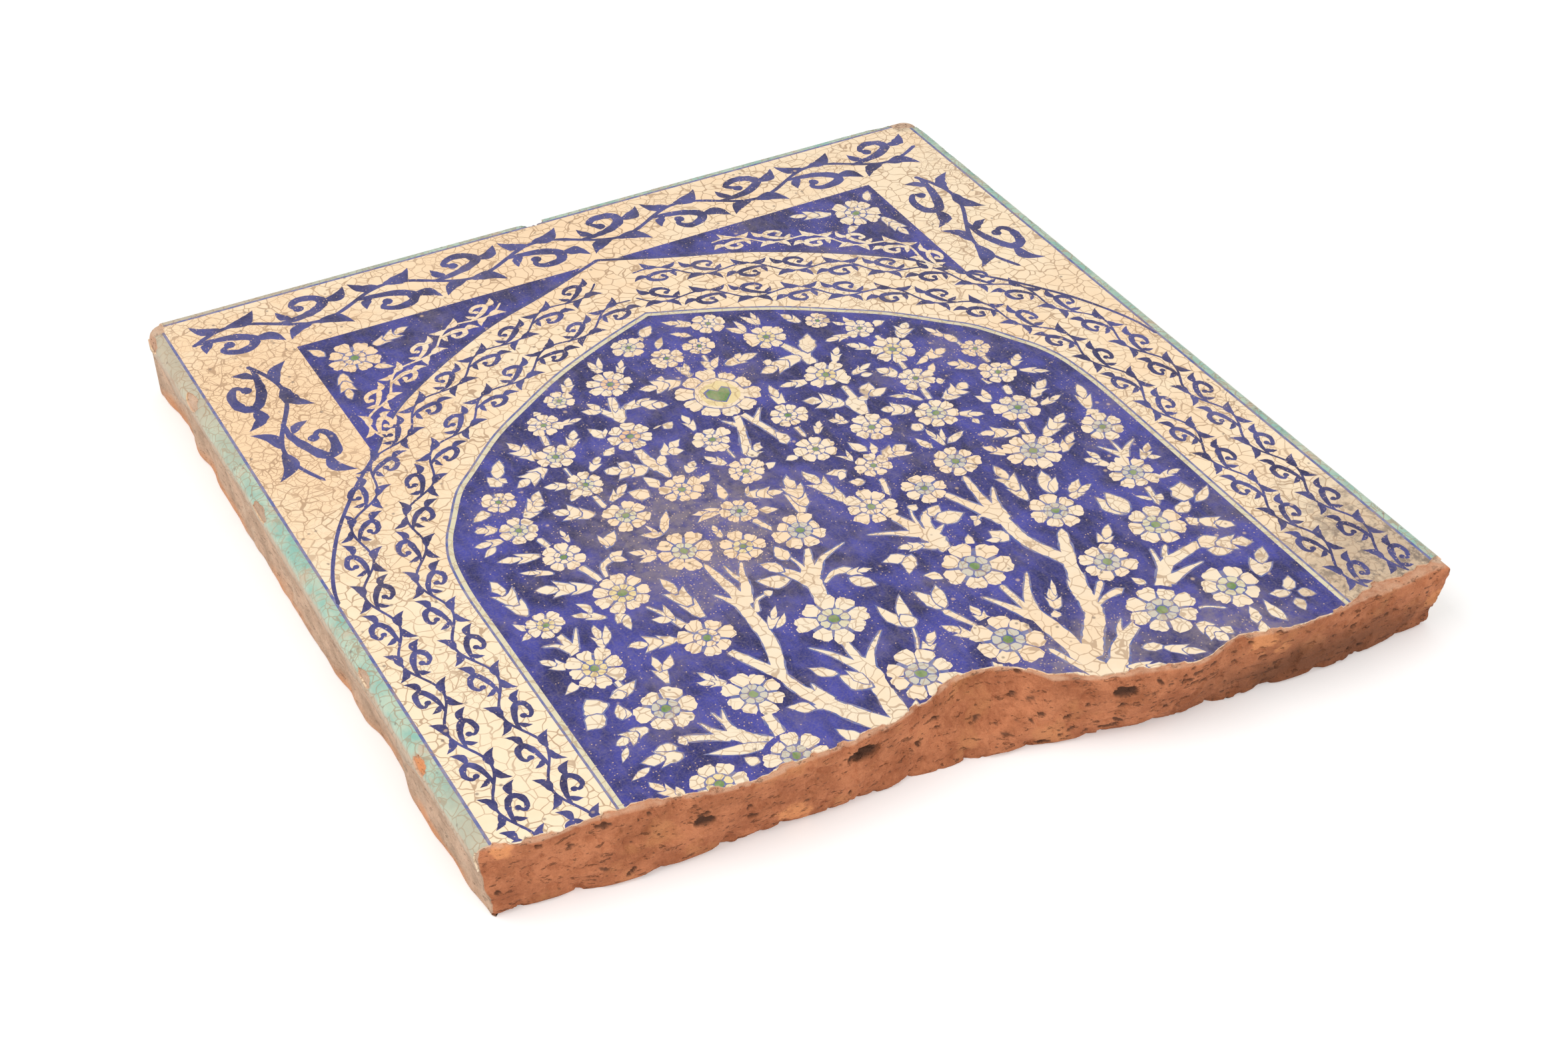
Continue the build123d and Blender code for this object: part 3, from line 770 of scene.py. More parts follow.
sprigs = (
    (-228, -428, -244, -386, 19, 3), (-187, -424, -171, -399, 16, 2), (-149, -426, -157, -404, 13, 1),
    (-147, -425, -140, -412, 7, 1), (-226, -444, -266, -461, 21, 3), (-280, -451, -287, -430, 14, 1),
    (-279, -437, -264, -409, 15, 1), (-308, -482, -330, -492, 14, 1), (-271, -500, -250, -477, 17, 2),
    (-219, -483, -242, -474, 15, 2), (-186, -472, -168, -453, 14, 2), (-163, -454, -147, -446, 12, 1),
    (-95, -437, -84, -435, 3, 1), (-84, -442, -71, -435, 12, 1), (-56, -460, -56, -429, 14, 2),
    (-314, -515, -335, -506, 18, 2), (-280, -511, -252, -489, 18, 3), (-315, -533, -345, -530, 14, 2),
    (-327, -539, -343, -549, 9, 1), (-216, -540, -252, -515, 21, 3), (-227, -508, -214, -499, 8, 1),
    (-191, -528, -164, -509, 14, 2), (-152, -540, -168, -523, 20, 1), (-136, -531, -143, -508, 14, 1),
    (-98, -522, -83, -508, 15, 2), (-93, -544, -79, -534, 10, 1), (-56, -529, -70, -506, 14, 2),
    (-26, -530, -5, -513, 18, 2), (-23, -554, -8, -551, 11, 1), (-98, -321, -103, -291, 12, 2),
    (-95, -311, -88, -289, 7, 1), (-82, -329, -67, -305, 12, 2), (-36, -284, -26, -274, 9, 1),
    (-26, -276, -7, -260, 16, 1), (-21, -305, -7, -287, 10, 1), (-28, -374, -75, -367, 21, 3),
    (-47, -362, -42, -354, 9, 1), (-150, -333, -133, -308, 16, 2), (-193, -358, -195, -348, 9, 1),
    (-215, -372, -215, -374, 7, 1), (-180, -383, -155, -383, 11, 2), (-130, -382, -149, -372, 11, 1),
    (-130, -378, -138, -362, 11, 1), (-105, -389, -72, -385, 16, 2), (-86, -390, -61, -406, 20, 2),
    (-134, -498, -174, -479, 24, 3), (-145, -483, -156, -474, 12, 1), (-117, -498, -107, -481, 12, 1),
    (-107, -483, -79, -467, 20, 2), (-100, -481, -84, -486, 14, 1), (-258, -567, -258, -546, 9, 2),
    (-13, -361, -20, -346, 9, 1), (-13, -361, -8, -344, 9, 1), (-117, -390, -107, -364, 7, 1),
    (-278, -444, -271, -441, 12, 1), (36, -281, 8, -260, 15, 2), (24, -300, 5, -285, 9, 1),
    (84, -323, 67, -305, 11, 1), (83, -323, 81, -297, 8, 1), (102, -316, 92, -292, 9, 1),
    (104, -316, 107, -290, 10, 2), (148, -334, 136, -310, 15, 2), (191, -362, 181, -351, 7, 1),
    (198, -362, 197, -348, 7, 1), (183, -383, 155, -381, 14, 2), (218, -381, 235, -378, 11, 1),
    (191, -417, 172, -398, 16, 2), (233, -416, 255, -392, 19, 3), (279, -437, 268, -411, 12, 2),
    (286, -453, 281, -432, 13, 1), (143, -421, 160, -397, 14, 2), (99, -439, 64, -434, 15, 2),
    (148, -451, 176, -443, 13, 2), (155, -458, 168, -461, 10, 1), (50, -468, 55, -426, 15, 2),
    (191, -477, 178, -455, 20, 2), (239, -463, 267, -458, 21, 2), (241, -460, 221, -469, 9, 1),
    (228, -491, 239, -476, 9, 1), (277, -505, 254, -483, 16, 3), (223, -507, 232, -510, 12, 1),
    (316, -523, 335, -506, 15, 2), (318, -533, 346, -550, 12, 2), (283, -536, 270, -527, 14, 1),
    (172, -540, 141, -523, 20, 3), (191, -530, 179, -508, 9, 1), (181, -516, 162, -506, 7, 1),
    (213, -540, 252, -525, 21, 3), (97, -526, 80, -513, 12, 2), (95, -521, 94, -506, 9, 1),
    (57, -528, 71, -509, 12, 2), (19, -528, 19, -504, 14, 1), (18, -554, 4, -553, 11, 1),
    (86, -579, 78, -558, 11, 1), (256, -568, 246, -551, 11, 1), (258, -565, 260, -544, 10, 1),
    (160, -577, 160, -563, 12, 1), (15, -370, 10, -350, 14, 1), (18, -368, 32, -351, 10, 1),
    (32, -368, 73, -365, 20, 2), (48, -364, 57, -356, 9, 1), (113, -393, 59, -402, 23, 3),
    (80, -388, 71, -383, 12, 1), (125, -391, 143, -359, 20, 1), (111, -495, 76, -469, 24, 3),
    (106, -488, 99, -467, 10, 1), (141, -494, 155, -474, 19, 1), (143, -495, 167, -491, 14, 1),
    (-13, -367, -14, -349, 9, 1), (129, -495, 143, -493, 9, 1), (-343, -649, -354, -587, 20, 3),
    (-268, -642, -320, -620, 21, 3), (-294, -572, -335, -562, 17, 2), (-293, -604, -322, -588, 11, 2),
    (-349, -671, -361, -655, 8, 1), (-349, -671, -363, -681, 8, 1), (-277, -688, -305, -670, 13, 2),
    (-286, -676, -294, -657, 9, 1), (-340, -737, -361, -715, 15, 2), (-299, -728, -293, -694, 14, 2),
    (-295, -724, -283, -699, 9, 1), (-340, -756, -359, -769, 10, 1), (-231, -751, -277, -737, 19, 3),
    (-222, -723, -239, -713, 10, 1), (-219, -724, -219, -699, 8, 1), (-193, -733, -203, -662, 20, 3),
    (-257, -691, -271, -702, 14, 1), (-257, -695, -263, -716, 10, 1), (-187, -627, -212, -611, 15, 2),
    (-190, -629, -210, -630, 9, 1), (-229, -594, -210, -573, 14, 1), (-225, -593, -228, -571, 7, 1),
    (-167, -600, -189, -592, 10, 1), (-167, -600, -148, -569, 11, 1), (-172, -597, -178, -580, 5, 1),
    (-119, -634, -117, -612, 10, 2), (-97, -594, -128, -588, 13, 2), (-100, -598, -129, -602, 9, 1),
    (-63, -585, -26, -598, 17, 3), (-61, -585, -53, -573, 5, 1), (-86, -581, -80, -555, 12, 1),
    (-63, -613, -45, -621, 11, 1), (-26, -640, -11, -578, 21, 2), (-77, -697, -78, -673, 17, 1),
    (-267, -800, -263, -761, 15, 2), (-263, -783, -247, -767, 10, 1), (-342, -809, -345, -785, 26, 1),
    (-340, -811, -362, -822, 21, 1), (-328, -816, -316, -823, 17, 1), (-327, -825, -322, -805, 12, 1),
    (-312, -845, -348, -853, 17, 3), (-340, -860, -352, -875, 7, 1), (-300, -881, -321, -877, 20, 1),
    (-300, -893, -338, -884, 21, 2), (-334, -893, -355, -900, 8, 1), (-328, -936, -344, -910, 14, 2),
    (-324, -940, -324, -926, 9, 1), (-259, -942, -271, -944, 14, 1), (-242, -935, -252, -923, 12, 1),
    (-220, -831, -235, -802, 14, 2), (-218, -829, -243, -814, 12, 2), (-99, -898, -119, -870, 20, 1),
    (-119, -867, -139, -847, 13, 1), (-100, -893, -110, -867, 12, 1), (-162, -898, -184, -884, 14, 1),
    (-21, -842, -35, -801, 14, 1), (-18, -842, -7, -798, 14, 1), (-19, -844, -21, -823, 20, 1),
    (-33, -886, -5, -859, 15, 2), (-143, -780, -123, -753, 12, 2), (-138, -782, -120, -766, 7, 1),
    (-142, -952, -159, -931, 13, 1), (-86, -948, -73, -933, 10, 1), (-221, -919, -279, -903, 14, 1),
    (-323, -793, -293, -783, 14, 1), (-308, -795, -324, -793, 12, 1), (-90, -725, -120, -711, 20, 1),
    (-89, -711, -105, -690, 15, 1), (-35, -744, -9, -749, 13, 2), (-37, -751, -18, -773, 17, 1),
    (-287, -877, -296, -877, 14, 1), (-233, -611, -217, -605, 12, 1), (-233, -611, -219, -621, 10, 1),
    (-124, -733, -114, -732, 10, 1), (-243, -641, -240, -639, 12, 1), (23, -643, 9, -579, 20, 3),
    (-16, -631, -12, -578, 20, 3), (51, -599, 29, -594, 12, 1), (46, -598, 37, -610, 10, 1),
    (99, -596, 131, -591, 23, 2), (110, -598, 130, -606, 10, 1), (65, -588, 54, -572, 4, 1),
    (66, -588, 69, -568, 5, 1), (92, -589, 99, -570, 8, 1), (88, -580, 78, -558, 13, 1),
    (58, -625, 44, -617, 13, 1), (168, -610, 164, -577, 10, 2), (172, -604, 180, -584, 6, 1),
    (173, -609, 199, -599, 10, 1), (154, -609, 146, -586, 10, 1), (211, -570, 236, -583, 14, 2),
    (220, -585, 222, -596, 8, 1), (160, -576, 157, -562, 16, 1), (302, -583, 333, -560, 18, 2),
    (302, -599, 331, -594, 12, 2), (251, -629, 211, -611, 18, 3), (216, -656, 202, -632, 16, 2),
    (272, -649, 314, -624, 18, 3), (272, -681, 303, -658, 16, 2), (343, -630, 360, -586, 19, 2),
    (344, -644, 342, -630, 18, 1), (192, -732, 194, -667, 19, 3), (303, -724, 286, -702, 14, 2),
    (301, -710, 296, -692, 8, 1), (232, -751, 267, -741, 14, 2), (239, -742, 260, -728, 12, 1),
    (272, -800, 258, -763, 20, 1), (273, -800, 271, -761, 22, 1), (222, -736, 233, -698, 19, 1),
    (223, -735, 240, -714, 11, 1), (337, -766, 366, -765, 12, 2), (318, -823, 340, -813, 16, 1),
    (336, -811, 352, -784, 26, 1), (346, -818, 373, -802, 12, 1), (317, -845, 330, -841, 15, 1),
    (330, -845, 358, -869, 22, 2), (214, -834, 243, -806, 18, 2), (305, -880, 330, -875, 22, 1),
    (322, -883, 358, -898, 24, 2), (308, -888, 330, -900, 15, 1), (329, -943, 360, -911, 24, 2),
    (340, -976, 354, -959, 14, 1), (340, -980, 320, -972, 13, 1), (348, -982, 361, -994, 14, 1),
    (339, -990, 336, -1008, 13, 1), (120, -889, 131, -860, 18, 2), (130, -872, 140, -850, 6, 1),
    (138, -778, 128, -756, 18, 1), (131, -773, 117, -767, 8, 1), (99, -769, 106, -750, 10, 1),
    (47, -796, 31, -783, 12, 1), (19, -835, 9, -800, 16, 1), (23, -835, 33, -802, 16, 1),
    (25, -884, 6, -856, 16, 2), (49, -874, 46, -844, 15, 2), (-19, -870, -5, -860, 10, 1),
    (230, -972, 240, -1008, 21, 3), (245, -998, 255, -992, 15, 1), (281, -1001, 290, -977, 12, 1),
    (310, -1011, 309, -977, 14, 1), (277, -1020, 287, -1000, 12, 1), (160, -976, 181, -986, 13, 1),
    (179, -986, 211, -1011, 16, 2), (132, -991, 169, -1011, 15, 2), (50, -976, 57, -966, 10, 1),
    (91, -984, 74, -970, 10, 1), (88, -706, 105, -695, 16, 1), (90, -714, 121, -718, 23, 1),
    (55, -743, 31, -734, 16, 2), (31, -748, 6, -746, 14, 1), (37, -750, 20, -774, 16, 1),
    (77, -690, 85, -683, 12, 1), (129, -734, 120, -742, 8, 1), (128, -734, 124, -726, 8, 1),
    (341, -732, 364, -712, 14, 2), (348, -732, 361, -738, 8, 1), (308, -794, 296, -780, 6, 1),
    (312, -796, 322, -790, 11, 1), (221, -900, 213, -886, 10, 1), (112, -900, 116, -890, 11, 1),
)

drawing = {
    "borderX": 500.0,
    "borderLine": 3.2,
    "archLine": 5.0,
    "nicheLine": 2.6,
    "nicheStrip": 7.6,
    # noises that move the lines: height, cell, seed, layers
    "sideSway": (1.0, 150, 3, 2),
    "topSway": (1.0, 150, 4, 2),
    "nicheSway": (1.0, 70, 8, 2),
    "outerArch": [(0, -107), (84, -142), (155, -168), (205, -193), (247, -218), (297, -252), (326, -276),
                  (350, -303), (366, -325), (377, -339), (399, -363), (420, -388), (455, -437), (480, -485),
                  (493, -520), (498, -545)],
    "nicheArch": [(0, -233), (50, -252), (100, -273), (150, -298), (200, -330), (250, -364), (299, -409),
                  (326, -436), (350, -475), (366, -503), (377, -534), (382, -570), (384, -605), (384, -660),
                  (384, -760), (384, -860), (384, -960), (384, -1060)],
    # scrolls: one branch with its curl, and the leaves of a unit as heel, tip, width and bend; places
    # are shares of the unit's length and the scroll's height, widths are shares of its weight
    "curlForm": [(0.03, 0.05), (0.24, 0.04), (0.48, -0.09), (0.67, -0.36), (0.62, -0.68), (0.42, -0.78),
                 (0.29, -0.58), (0.36, -0.38)],
    "scrollLeaves": [(0.44, 0.44, 0.86, 0.9, 0.95, -0.2), (0.4, 0.42, 0.06, 0.9, 0.8, 0.2),
                     (0.67, -0.4, 1.0, -0.86, 0.85, 0.22), (0.22, 0.0, 0.08, -0.5, 0.6, -0.15)],
    # each scroll's half height, length of a unit and weight of the brush
    "borderScroll": (43, 96, 19),
    "sideScroll": (46, 100, 19),
    "bandScroll": (23, 54, 10),
    "panelScroll": (20, 48, 9.5),
    "bandMiddle": [(441, -1010), (441, -900), (441, -800), (441, -700), (441, -610), (434, -545), (416, -472),
                   (385, -412), (340, -355), (275, -300), (190, -252), (100, -212), (8, -174)],
    "bandRows": (27, -27),  # the two rows of scroll, to each side of the band's middle
    "panelVine": [(356, -312), (345, -262), (296, -216), (225, -170), (140, -137)],
    "panelSprigs": [(300, -148, 252, -130, 17, 3), (352, -184, 360, -232, 16, 3),
                    (356, -142, 368, -122, 12, 1), (316, -184, 296, -196, 11, 1)],
    "panelBlossom": (328, -160, 29, 8, 0),
    "spandrelTop": -110.0,
    "spandrelSide": 376.0,
    "bigFlower": (-1.0, -413.0, 44.0),
    "seed": 41,
}
hand = np.random.default_rng(drawing["seed"])
painted = []  # (finish, outline) from the lowest to the topmost


def lay(finish, outline):
    painted.append((finish, np.asarray(outline, float)))


def strokeShape(points, startWidth, endWidth, belly=0.0, perSpan=5):
    # brush stroke: half the width to each side of the middle line, along its normal; the width runs
    # evenly from start to end and swells by belly * sin(pi t) between; blunt start, pointed end
    points = np.asarray(points, float)
    line = curveThrough(points, perSpan) if len(points) > 2 else np.linspace(points[0], points[1], perSpan)
    step = np.gradient(line, axis=0)
    step /= np.linalg.norm(step, axis=1, keepdims=True)
    run = np.r_[0, np.cumsum(np.linalg.norm(np.diff(line, axis=0), axis=1))]
    t = run / run[-1]
    half = ((1 - t) * startWidth + t * endWidth + belly * np.sin(np.pi * t)) / 2
    half = half[:, None] * (1 + 0.07 * hand.standard_normal((len(line), 1)))
    side = np.column_stack([-step[:, 1], step[:, 0]])
    tip = line[-1] + step[-1] * (0.6 * endWidth + 0.8)
    heel = line[0] - step[0] * 0.35 * startWidth
    return np.vstack([line - side * half, [tip], (line + side * half)[::-1], [heel]])


def leafShape(x0, y0, x1, y1, width, bend=0.0):
    # leaf from heel to tip: half width = width / 2 * sin(pi t^0.8), its middle line bowed by
    # bend * length * sin(pi t)
    heel, tip = np.array([x0, y0], float), np.array([x1, y1], float)
    along = tip - heel
    across = np.array([-along[1], along[0]])
    across /= np.linalg.norm(across)
    t = np.linspace(0, 1, 9)[1:-1]
    half = width / 2 * np.sin(np.pi * t**0.8) * (1 + 0.08 * hand.standard_normal(7))
    bow = bend * np.linalg.norm(along) * np.sin(np.pi * t)
    middle = heel + along * t[:, None] + across * bow[:, None]
    reach = across * half[:, None]
    return np.vstack([middle - reach, [tip], (middle + reach)[::-1], [heel]])


def discShape(x, y, radius, count=12, ragged=0.06):
    a = np.linspace(0, 2 * np.pi, count, endpoint=False) + hand.random()
    r = radius * (1 + ragged * hand.standard_normal(count))
    return np.column_stack([x + r * np.cos(a), y + r * np.sin(a)])


def petalShape(x, y, inner, outer, angle, spread):
    # petal in polar form round the flower's middle: (share of the half spread, share of the length)
    form = np.array([(-0.78, 0.0), (-0.93, 0.38), (-0.97, 0.7), (-0.66, 0.97), (-0.22, 1.0), (0.04, 0.92),
                     (0.3, 1.0), (0.7, 0.95), (0.97, 0.68), (0.93, 0.36), (0.76, 0.0)])
    form = form + 0.03 * hand.standard_normal(form.shape)
    a = angle + form[:, 0] * spread / 2
    r = inner + np.clip(form[:, 1], 0, 1.1) * (outer - inner)
    return np.column_stack([x + r * np.cos(a), y + r * np.sin(a)])


blossomForm = {
    # discs: share of the radius, points, raggedness
    "ground": (1.05, 16, 0.02),
    "under": (0.78, 14, 0.03),
    "ring": (0.49, 12, 0.03),
    "heart": (0.165, 8, 0.12),
    "petalHeel": 0.47,
    "petalSpread": 0.93,  # of the turn from one petal to the next
    "uneven": (0.07, 0.04),  # in a petal's length and its angle
    "innerPetal": (0.21, 0.455),
    "innerTints": ("petal", "grey", "yellow", "edgeStrip", "peach"),
}


def layDisc(finish, x, y, radius, share, count, ragged):
    lay(finish, discShape(x, y, radius * share, count, ragged))


def drawBlossom(x, y, radius, petals, tint):
    # a ring of cream petals, a smaller tinted ring inside it and a green heart
    f = blossomForm
    layDisc("cobalt", x, y, radius, *f["ground"])
    layDisc("line", x, y, radius, *f["under"])
    turn = hand.random() * 2 * math.pi
    pitch = 2 * math.pi / petals
    for k in range(petals):
        reach = radius * (1 + f["uneven"][0] * hand.standard_normal())
        angle = turn + k * pitch + f["uneven"][1] * hand.standard_normal()
        lay("petal", petalShape(x, y, radius * f["petalHeel"], reach, angle, pitch * f["petalSpread"]))
    layDisc("line", x, y, radius, *f["ring"])
    heel, tip = (radius * share for share in f["innerPetal"])
    count = max(6, petals - 1)
    for k in range(count):
        angle = turn + (k + 0.5) * 2 * math.pi / count
        spread = 2 * f["petalSpread"] * math.pi / count
        lay(f["innerTints"][tint], petalShape(x, y, heel, tip, angle, spread))
    layDisc("green", x, y, radius, *f["heart"])


def layLeaf(outline):
    # a cream leaf with the thin blue line that goes round it
    middle = outline.mean(0)
    lay("line", middle + (outline - middle) * 1.17)
    lay("petal", outline)


def drawSprig(x0, y0, x1, y1, width, cups):
    # a chain of three-pointed cups, each growing out of the notch of the one below, and a bud
    heel, tip = np.array([x0, y0], float), np.array([x1, y1], float)
    if cups == 1:
        layLeaf(leafShape(x0, y0, x1, y1, width * 0.92, 0.06 * hand.standard_normal()))
        return
    along = tip - heel
    length = np.linalg.norm(along)
    along /= length
    across = np.array([-along[1], along[0]])
    cup = np.array([(0, -0.13), (0.28, -0.34), (0.6, -0.43), (1.0, -0.54), (0.82, -0.22), (0.72, 0),
                    (0.82, 0.22), (1.0, 0.54), (0.6, 0.43), (0.28, 0.34), (0, 0.13)])
    bud = np.array([(0, -0.11), (0.24, -0.33), (0.5, -0.37), (0.78, -0.2), (1, 0), (0.78, 0.22), (0.5, 0.36),
                    (0.24, 0.3), (0, 0.12)])
    part = length / (0.78 * (cups - 1) + 1.0)
    for k in range(cups):
        last = k == cups - 1
        form = (bud if last else cup) * [part, width * (0.8 if last else 0.86 + 0.2 * (k == cups // 2))]
        form = form + [0.78 * part * k, 0] + 0.03 * width * hand.standard_normal(form.shape)
        layLeaf(heel + form[:, :1] * along + form[:, 1:] * across)


bigFlowerForm = {
    # discs: finish, share of the radius, points, raggedness
    "under": (("cobalt", 1.04, 20, 0.02), ("line", 0.8, 18, 0.02)),
    "over": (("line", 0.66, 22, 0.02), ("petal", 0.62, 22, 0.03), ("yellow", 0.52, 20, 0.05)),
    "petals": 10,
    "firstAngle": 0.2,
    "petalHeel": 0.6,
    "petalSpread": 0.93,
    "uneven": 0.06,
    "heart": [(0, -0.42), (0.3, -0.12), (0.36, 0.12), (0.2, 0.26), (0.02, 0.12), (-0.16, 0.3),
              (-0.36, 0.2), (-0.38, -0.04), (-0.22, -0.28)],
    "heartLine": 0.98,
    "heartGreen": 0.84,
}


def drawBigFlower(x, y, radius):
    f = bigFlowerForm
    for finish, *disc in f["under"]:
        layDisc(finish, x, y, radius, *disc)
    pitch = 2 * math.pi / f["petals"]
    for k in range(f["petals"]):
        reach = radius * (1.0 + f["uneven"] * hand.standard_normal())
        angle = f["firstAngle"] + k * pitch
        lay("petal", petalShape(x, y, radius * f["petalHeel"], reach, angle, pitch * f["petalSpread"]))
    for finish, *disc in f["over"]:
        layDisc(finish, x, y, radius, *disc)
    heart = np.array(f["heart"])
    lay("line", heart * radius * f["heartLine"] + [x, y])
    lay("green", heart * radius * f["heartGreen"] + [x, y - 0.5])


def alongPath(path, s, t):
    # point at distance s along a dense path and t to its left
    step = np.gradient(path, axis=0)
    step /= np.linalg.norm(step, axis=1, keepdims=True)
    run = np.r_[0, np.cumsum(np.linalg.norm(np.diff(path, axis=0), axis=1))]
    px, py = np.interp(s, run, path[:, 0]), np.interp(s, run, path[:, 1])
    dx, dy = np.interp(s, run, step[:, 0]), np.interp(s, run, step[:, 1])
    return np.column_stack([px - np.asarray(t) * dy, py + np.asarray(t) * dx])


def drawScroll(finish, path, height, unit, weight):
    # running leaf scroll: a stem waves along the path, a branch curls back under each wave to a
    # round bud, and long leaves fill the outer side; s counts along one unit, t across from -1 to 1
    path = np.asarray(path, float)
    total = np.linalg.norm(np.diff(path, axis=0), axis=1).sum()
    count = max(1, round(total / unit))
    unit = total / count
    wave = np.linspace(0, count, count * 5 + 1)
    stem = alongPath(path, wave * unit, 0.42 * height * np.sin(np.pi * wave))
    lay(finish, strokeShape(stem, 0.3 * weight, 0.26 * weight, 0, 3))
    for k in range(count):
        up = 1 if k % 2 == 0 else -1
        form = drawing["curlForm"] + 0.014 * hand.standard_normal((8, 2))
        curl = alongPath(path, (k + form[:, 0]) * unit, up * form[:, 1] * height)
        lay(finish, strokeShape(curl, 0.24 * weight, 0.28 * weight, 0.42 * weight, 4))
        lay(finish, discShape(*curl[-1], 0.34 * weight, 9, 0.05))
        for a0, b0, a1, b1, wide, bend in drawing["scrollLeaves"]:
            ends = [(k + a0) * unit, (k + a1) * unit]
            heel, tip = alongPath(path, ends, [up * b0 * height, up * b1 * height])
            lay(finish, leafShape(*heel, *tip, wide * weight, up * bend))


def drawDesign():
    # border line, panels and arches, then the scrolls, then stems, sprigs and blossoms
    d = drawing
    edge, line = d["borderX"], d["borderLine"] / 2
    ys = np.linspace(0, -1300, 60)
    sway = 1.1 * (waver(d["sideSway"], ys, 0) - 0.5)
    xs = np.linspace(edge, -edge, 44)
    rise = 1.3 * (waver(d["topSway"], xs, 0) - 0.5)
    for finish, grow in (("line", line), ("cream", -line)):
        right = np.column_stack([edge + grow + sway, ys])[::-1]
        top = np.column_stack([xs, rise + grow])[1:-1]
        left = np.column_stack([-edge - grow - sway, ys])
        right[-1, 1], left[0, 1] = grow, grow
        lay(finish, np.vstack([right, top, left]))
    arch = curveThrough(d["outerArch"], 4)
    side, top = d["spandrelSide"], d["spandrelTop"]
    bounded = arch[(arch[:, 0] <= side) & (arch[:, 0] > 22)]
    for flip in (1, -1):
        panel = np.vstack([[(24, top - 3)], bounded, [(side, -338), (side + 1, top)]]) * [flip, 1]
        lay("cobalt", panel)
        line = np.array(d["outerArch"]) * [flip, 1]
        lay("brush", strokeShape(line, d["archLine"], d["archLine"] - 1, 0, 4))
    niche = curveThrough(d["nicheArch"], 4)
    whole = np.vstack([niche[::-1] * [-1, 1], niche[1:]])
    step = np.gradient(whole, axis=0)
    step /= np.linalg.norm(step, axis=1, keepdims=True)
    inward = np.column_stack([step[:, 1], -step[:, 0]])
    shake = (waver(d["nicheSway"], np.arange(len(whole)) * 9.0, 0) - 0.5)[:, None]
    for finish, depth in (("line", 0), ("edgeStrip", d["nicheLine"]), ("cobalt", d["nicheStrip"])):
        lay(finish, (whole + inward * (depth + 1.2 * shake))[::-1])

    drawScroll("brush", np.linspace((-478.0, -55.0), (478.0, -55.0), 60), *d["borderScroll"])
    for flip in (1, -1):
        side = np.linspace((flip * 439.0, -122.0), (flip * 439.0, -352.0), 30)
        drawScroll("brush", side, *d["sideScroll"])
        middle = curveThrough(np.array(d["bandMiddle"]) * [flip, 1], 8)
        length = np.linalg.norm(np.diff(middle, axis=0), axis=1).sum()
        for shift in d["bandRows"]:
            path = alongPath(middle, np.linspace(0, length - 8, 160), np.full(160, shift))
            drawScroll("brush", path, *d["bandScroll"])
        drawScroll("petal", curveThrough(np.array(d["panelVine"]) * [flip, 1], 8), *d["panelScroll"])
        for x0, y0, x1, y1, width, cups in d["panelSprigs"]:
            drawSprig(flip * x0, y0, flip * x1, y1, width, cups)
        x, y, *rest = d["panelBlossom"]
        drawBlossom(flip * x, y, *rest)
    for finish, grow in (("line", 3.4), ("petal", 0)):
        for w0, w1, *points in stems:
            lay(finish, strokeShape(points, w0 + grow, w1 + grow))
    for sprig in sprigs:
        drawSprig(*sprig)
    for blossom in blossoms:
        drawBlossom(*blossom)
    drawBigFlower(*d["bigFlower"])


drawDesign()
print("design drawn:", len(painted), "shapes,", sum(len(o) for _, o in painted), "points")


glazeSheet = {
    "skin": 0.9,
    "gridStep": 6.5,
    "dripEnd": 11.2,
    "dripRagged": 2.6,
    "dripRun": 4.5,
    "dripTeeth": 1.3,
    # height, cell, seed, layers
    "wanderNoise": (1.0, 34, 15, 3),
    "runNoise": (1.0, 17, 16, 2),
    "teethNoise": (1.0, 3.0, 17, 2),
    "bareNoise": (0.56, 4, 62, 3),
    "chalkNoise": (1.0, 7, 61, 2),
    "sideStep": 2.2,
    "cornerRun": 24.0,  # taken up by a corner on the count along the drip line
    "ringStep": 4.4,
    "rings": [-0.6, 1.0, 2.1, 3.2, 4.3, 5.4, 6.5, 7.6, 9.6],  # rows of points from the flat outwards
    "breakStep": 0.7,
    # places worn bare: u, v, reach along u, reach along v
    "bareSpots": [(211, 215, 10, 9), (196, 218.5, 9, 4), (171, 219.5, 6, 3), (-213, 214, 6, 8),
                  (-216, 150, 3.5, 7), (-217, 60, 3, 8), (217, 132, 3, 7), (60, 219.5, 7, 2.6),
                  (-217, -60, 2.6, 6)],
    "finishOrder": ["rim", "cream", "cobalt", "brush", "petal", "line", "edgeStrip", "grey", "yellow",
                    "peach", "green", "slip"],
    # the unrolled face fills this much of the bake sheet; walls and underside get a thin strip beside it
    "sheetSpan": 480,
    "faceCorner": (232, 242),
    "stripCorner": (240, 240),
    "stripSpan": (26000, 480),
    "stripStart": 0.975,
}


def dripLine(s):
    # where the glaze stops on the sides: an uneven line with a few longer runs and fine teeth
    wander = (waver(glazeSheet["wanderNoise"], s, 0) - 0.5) * 2 * glazeSheet["dripRagged"]
    runs = glazeSheet["dripRun"] * easeStep(waver(glazeSheet["runNoise"], s, 0), 0.66, 0.84)
    teeth = (waver(glazeSheet["teethNoise"], s, 0) - 0.5) * glazeSheet["dripTeeth"]
    return glazeSheet["dripEnd"] + wander + runs + teeth


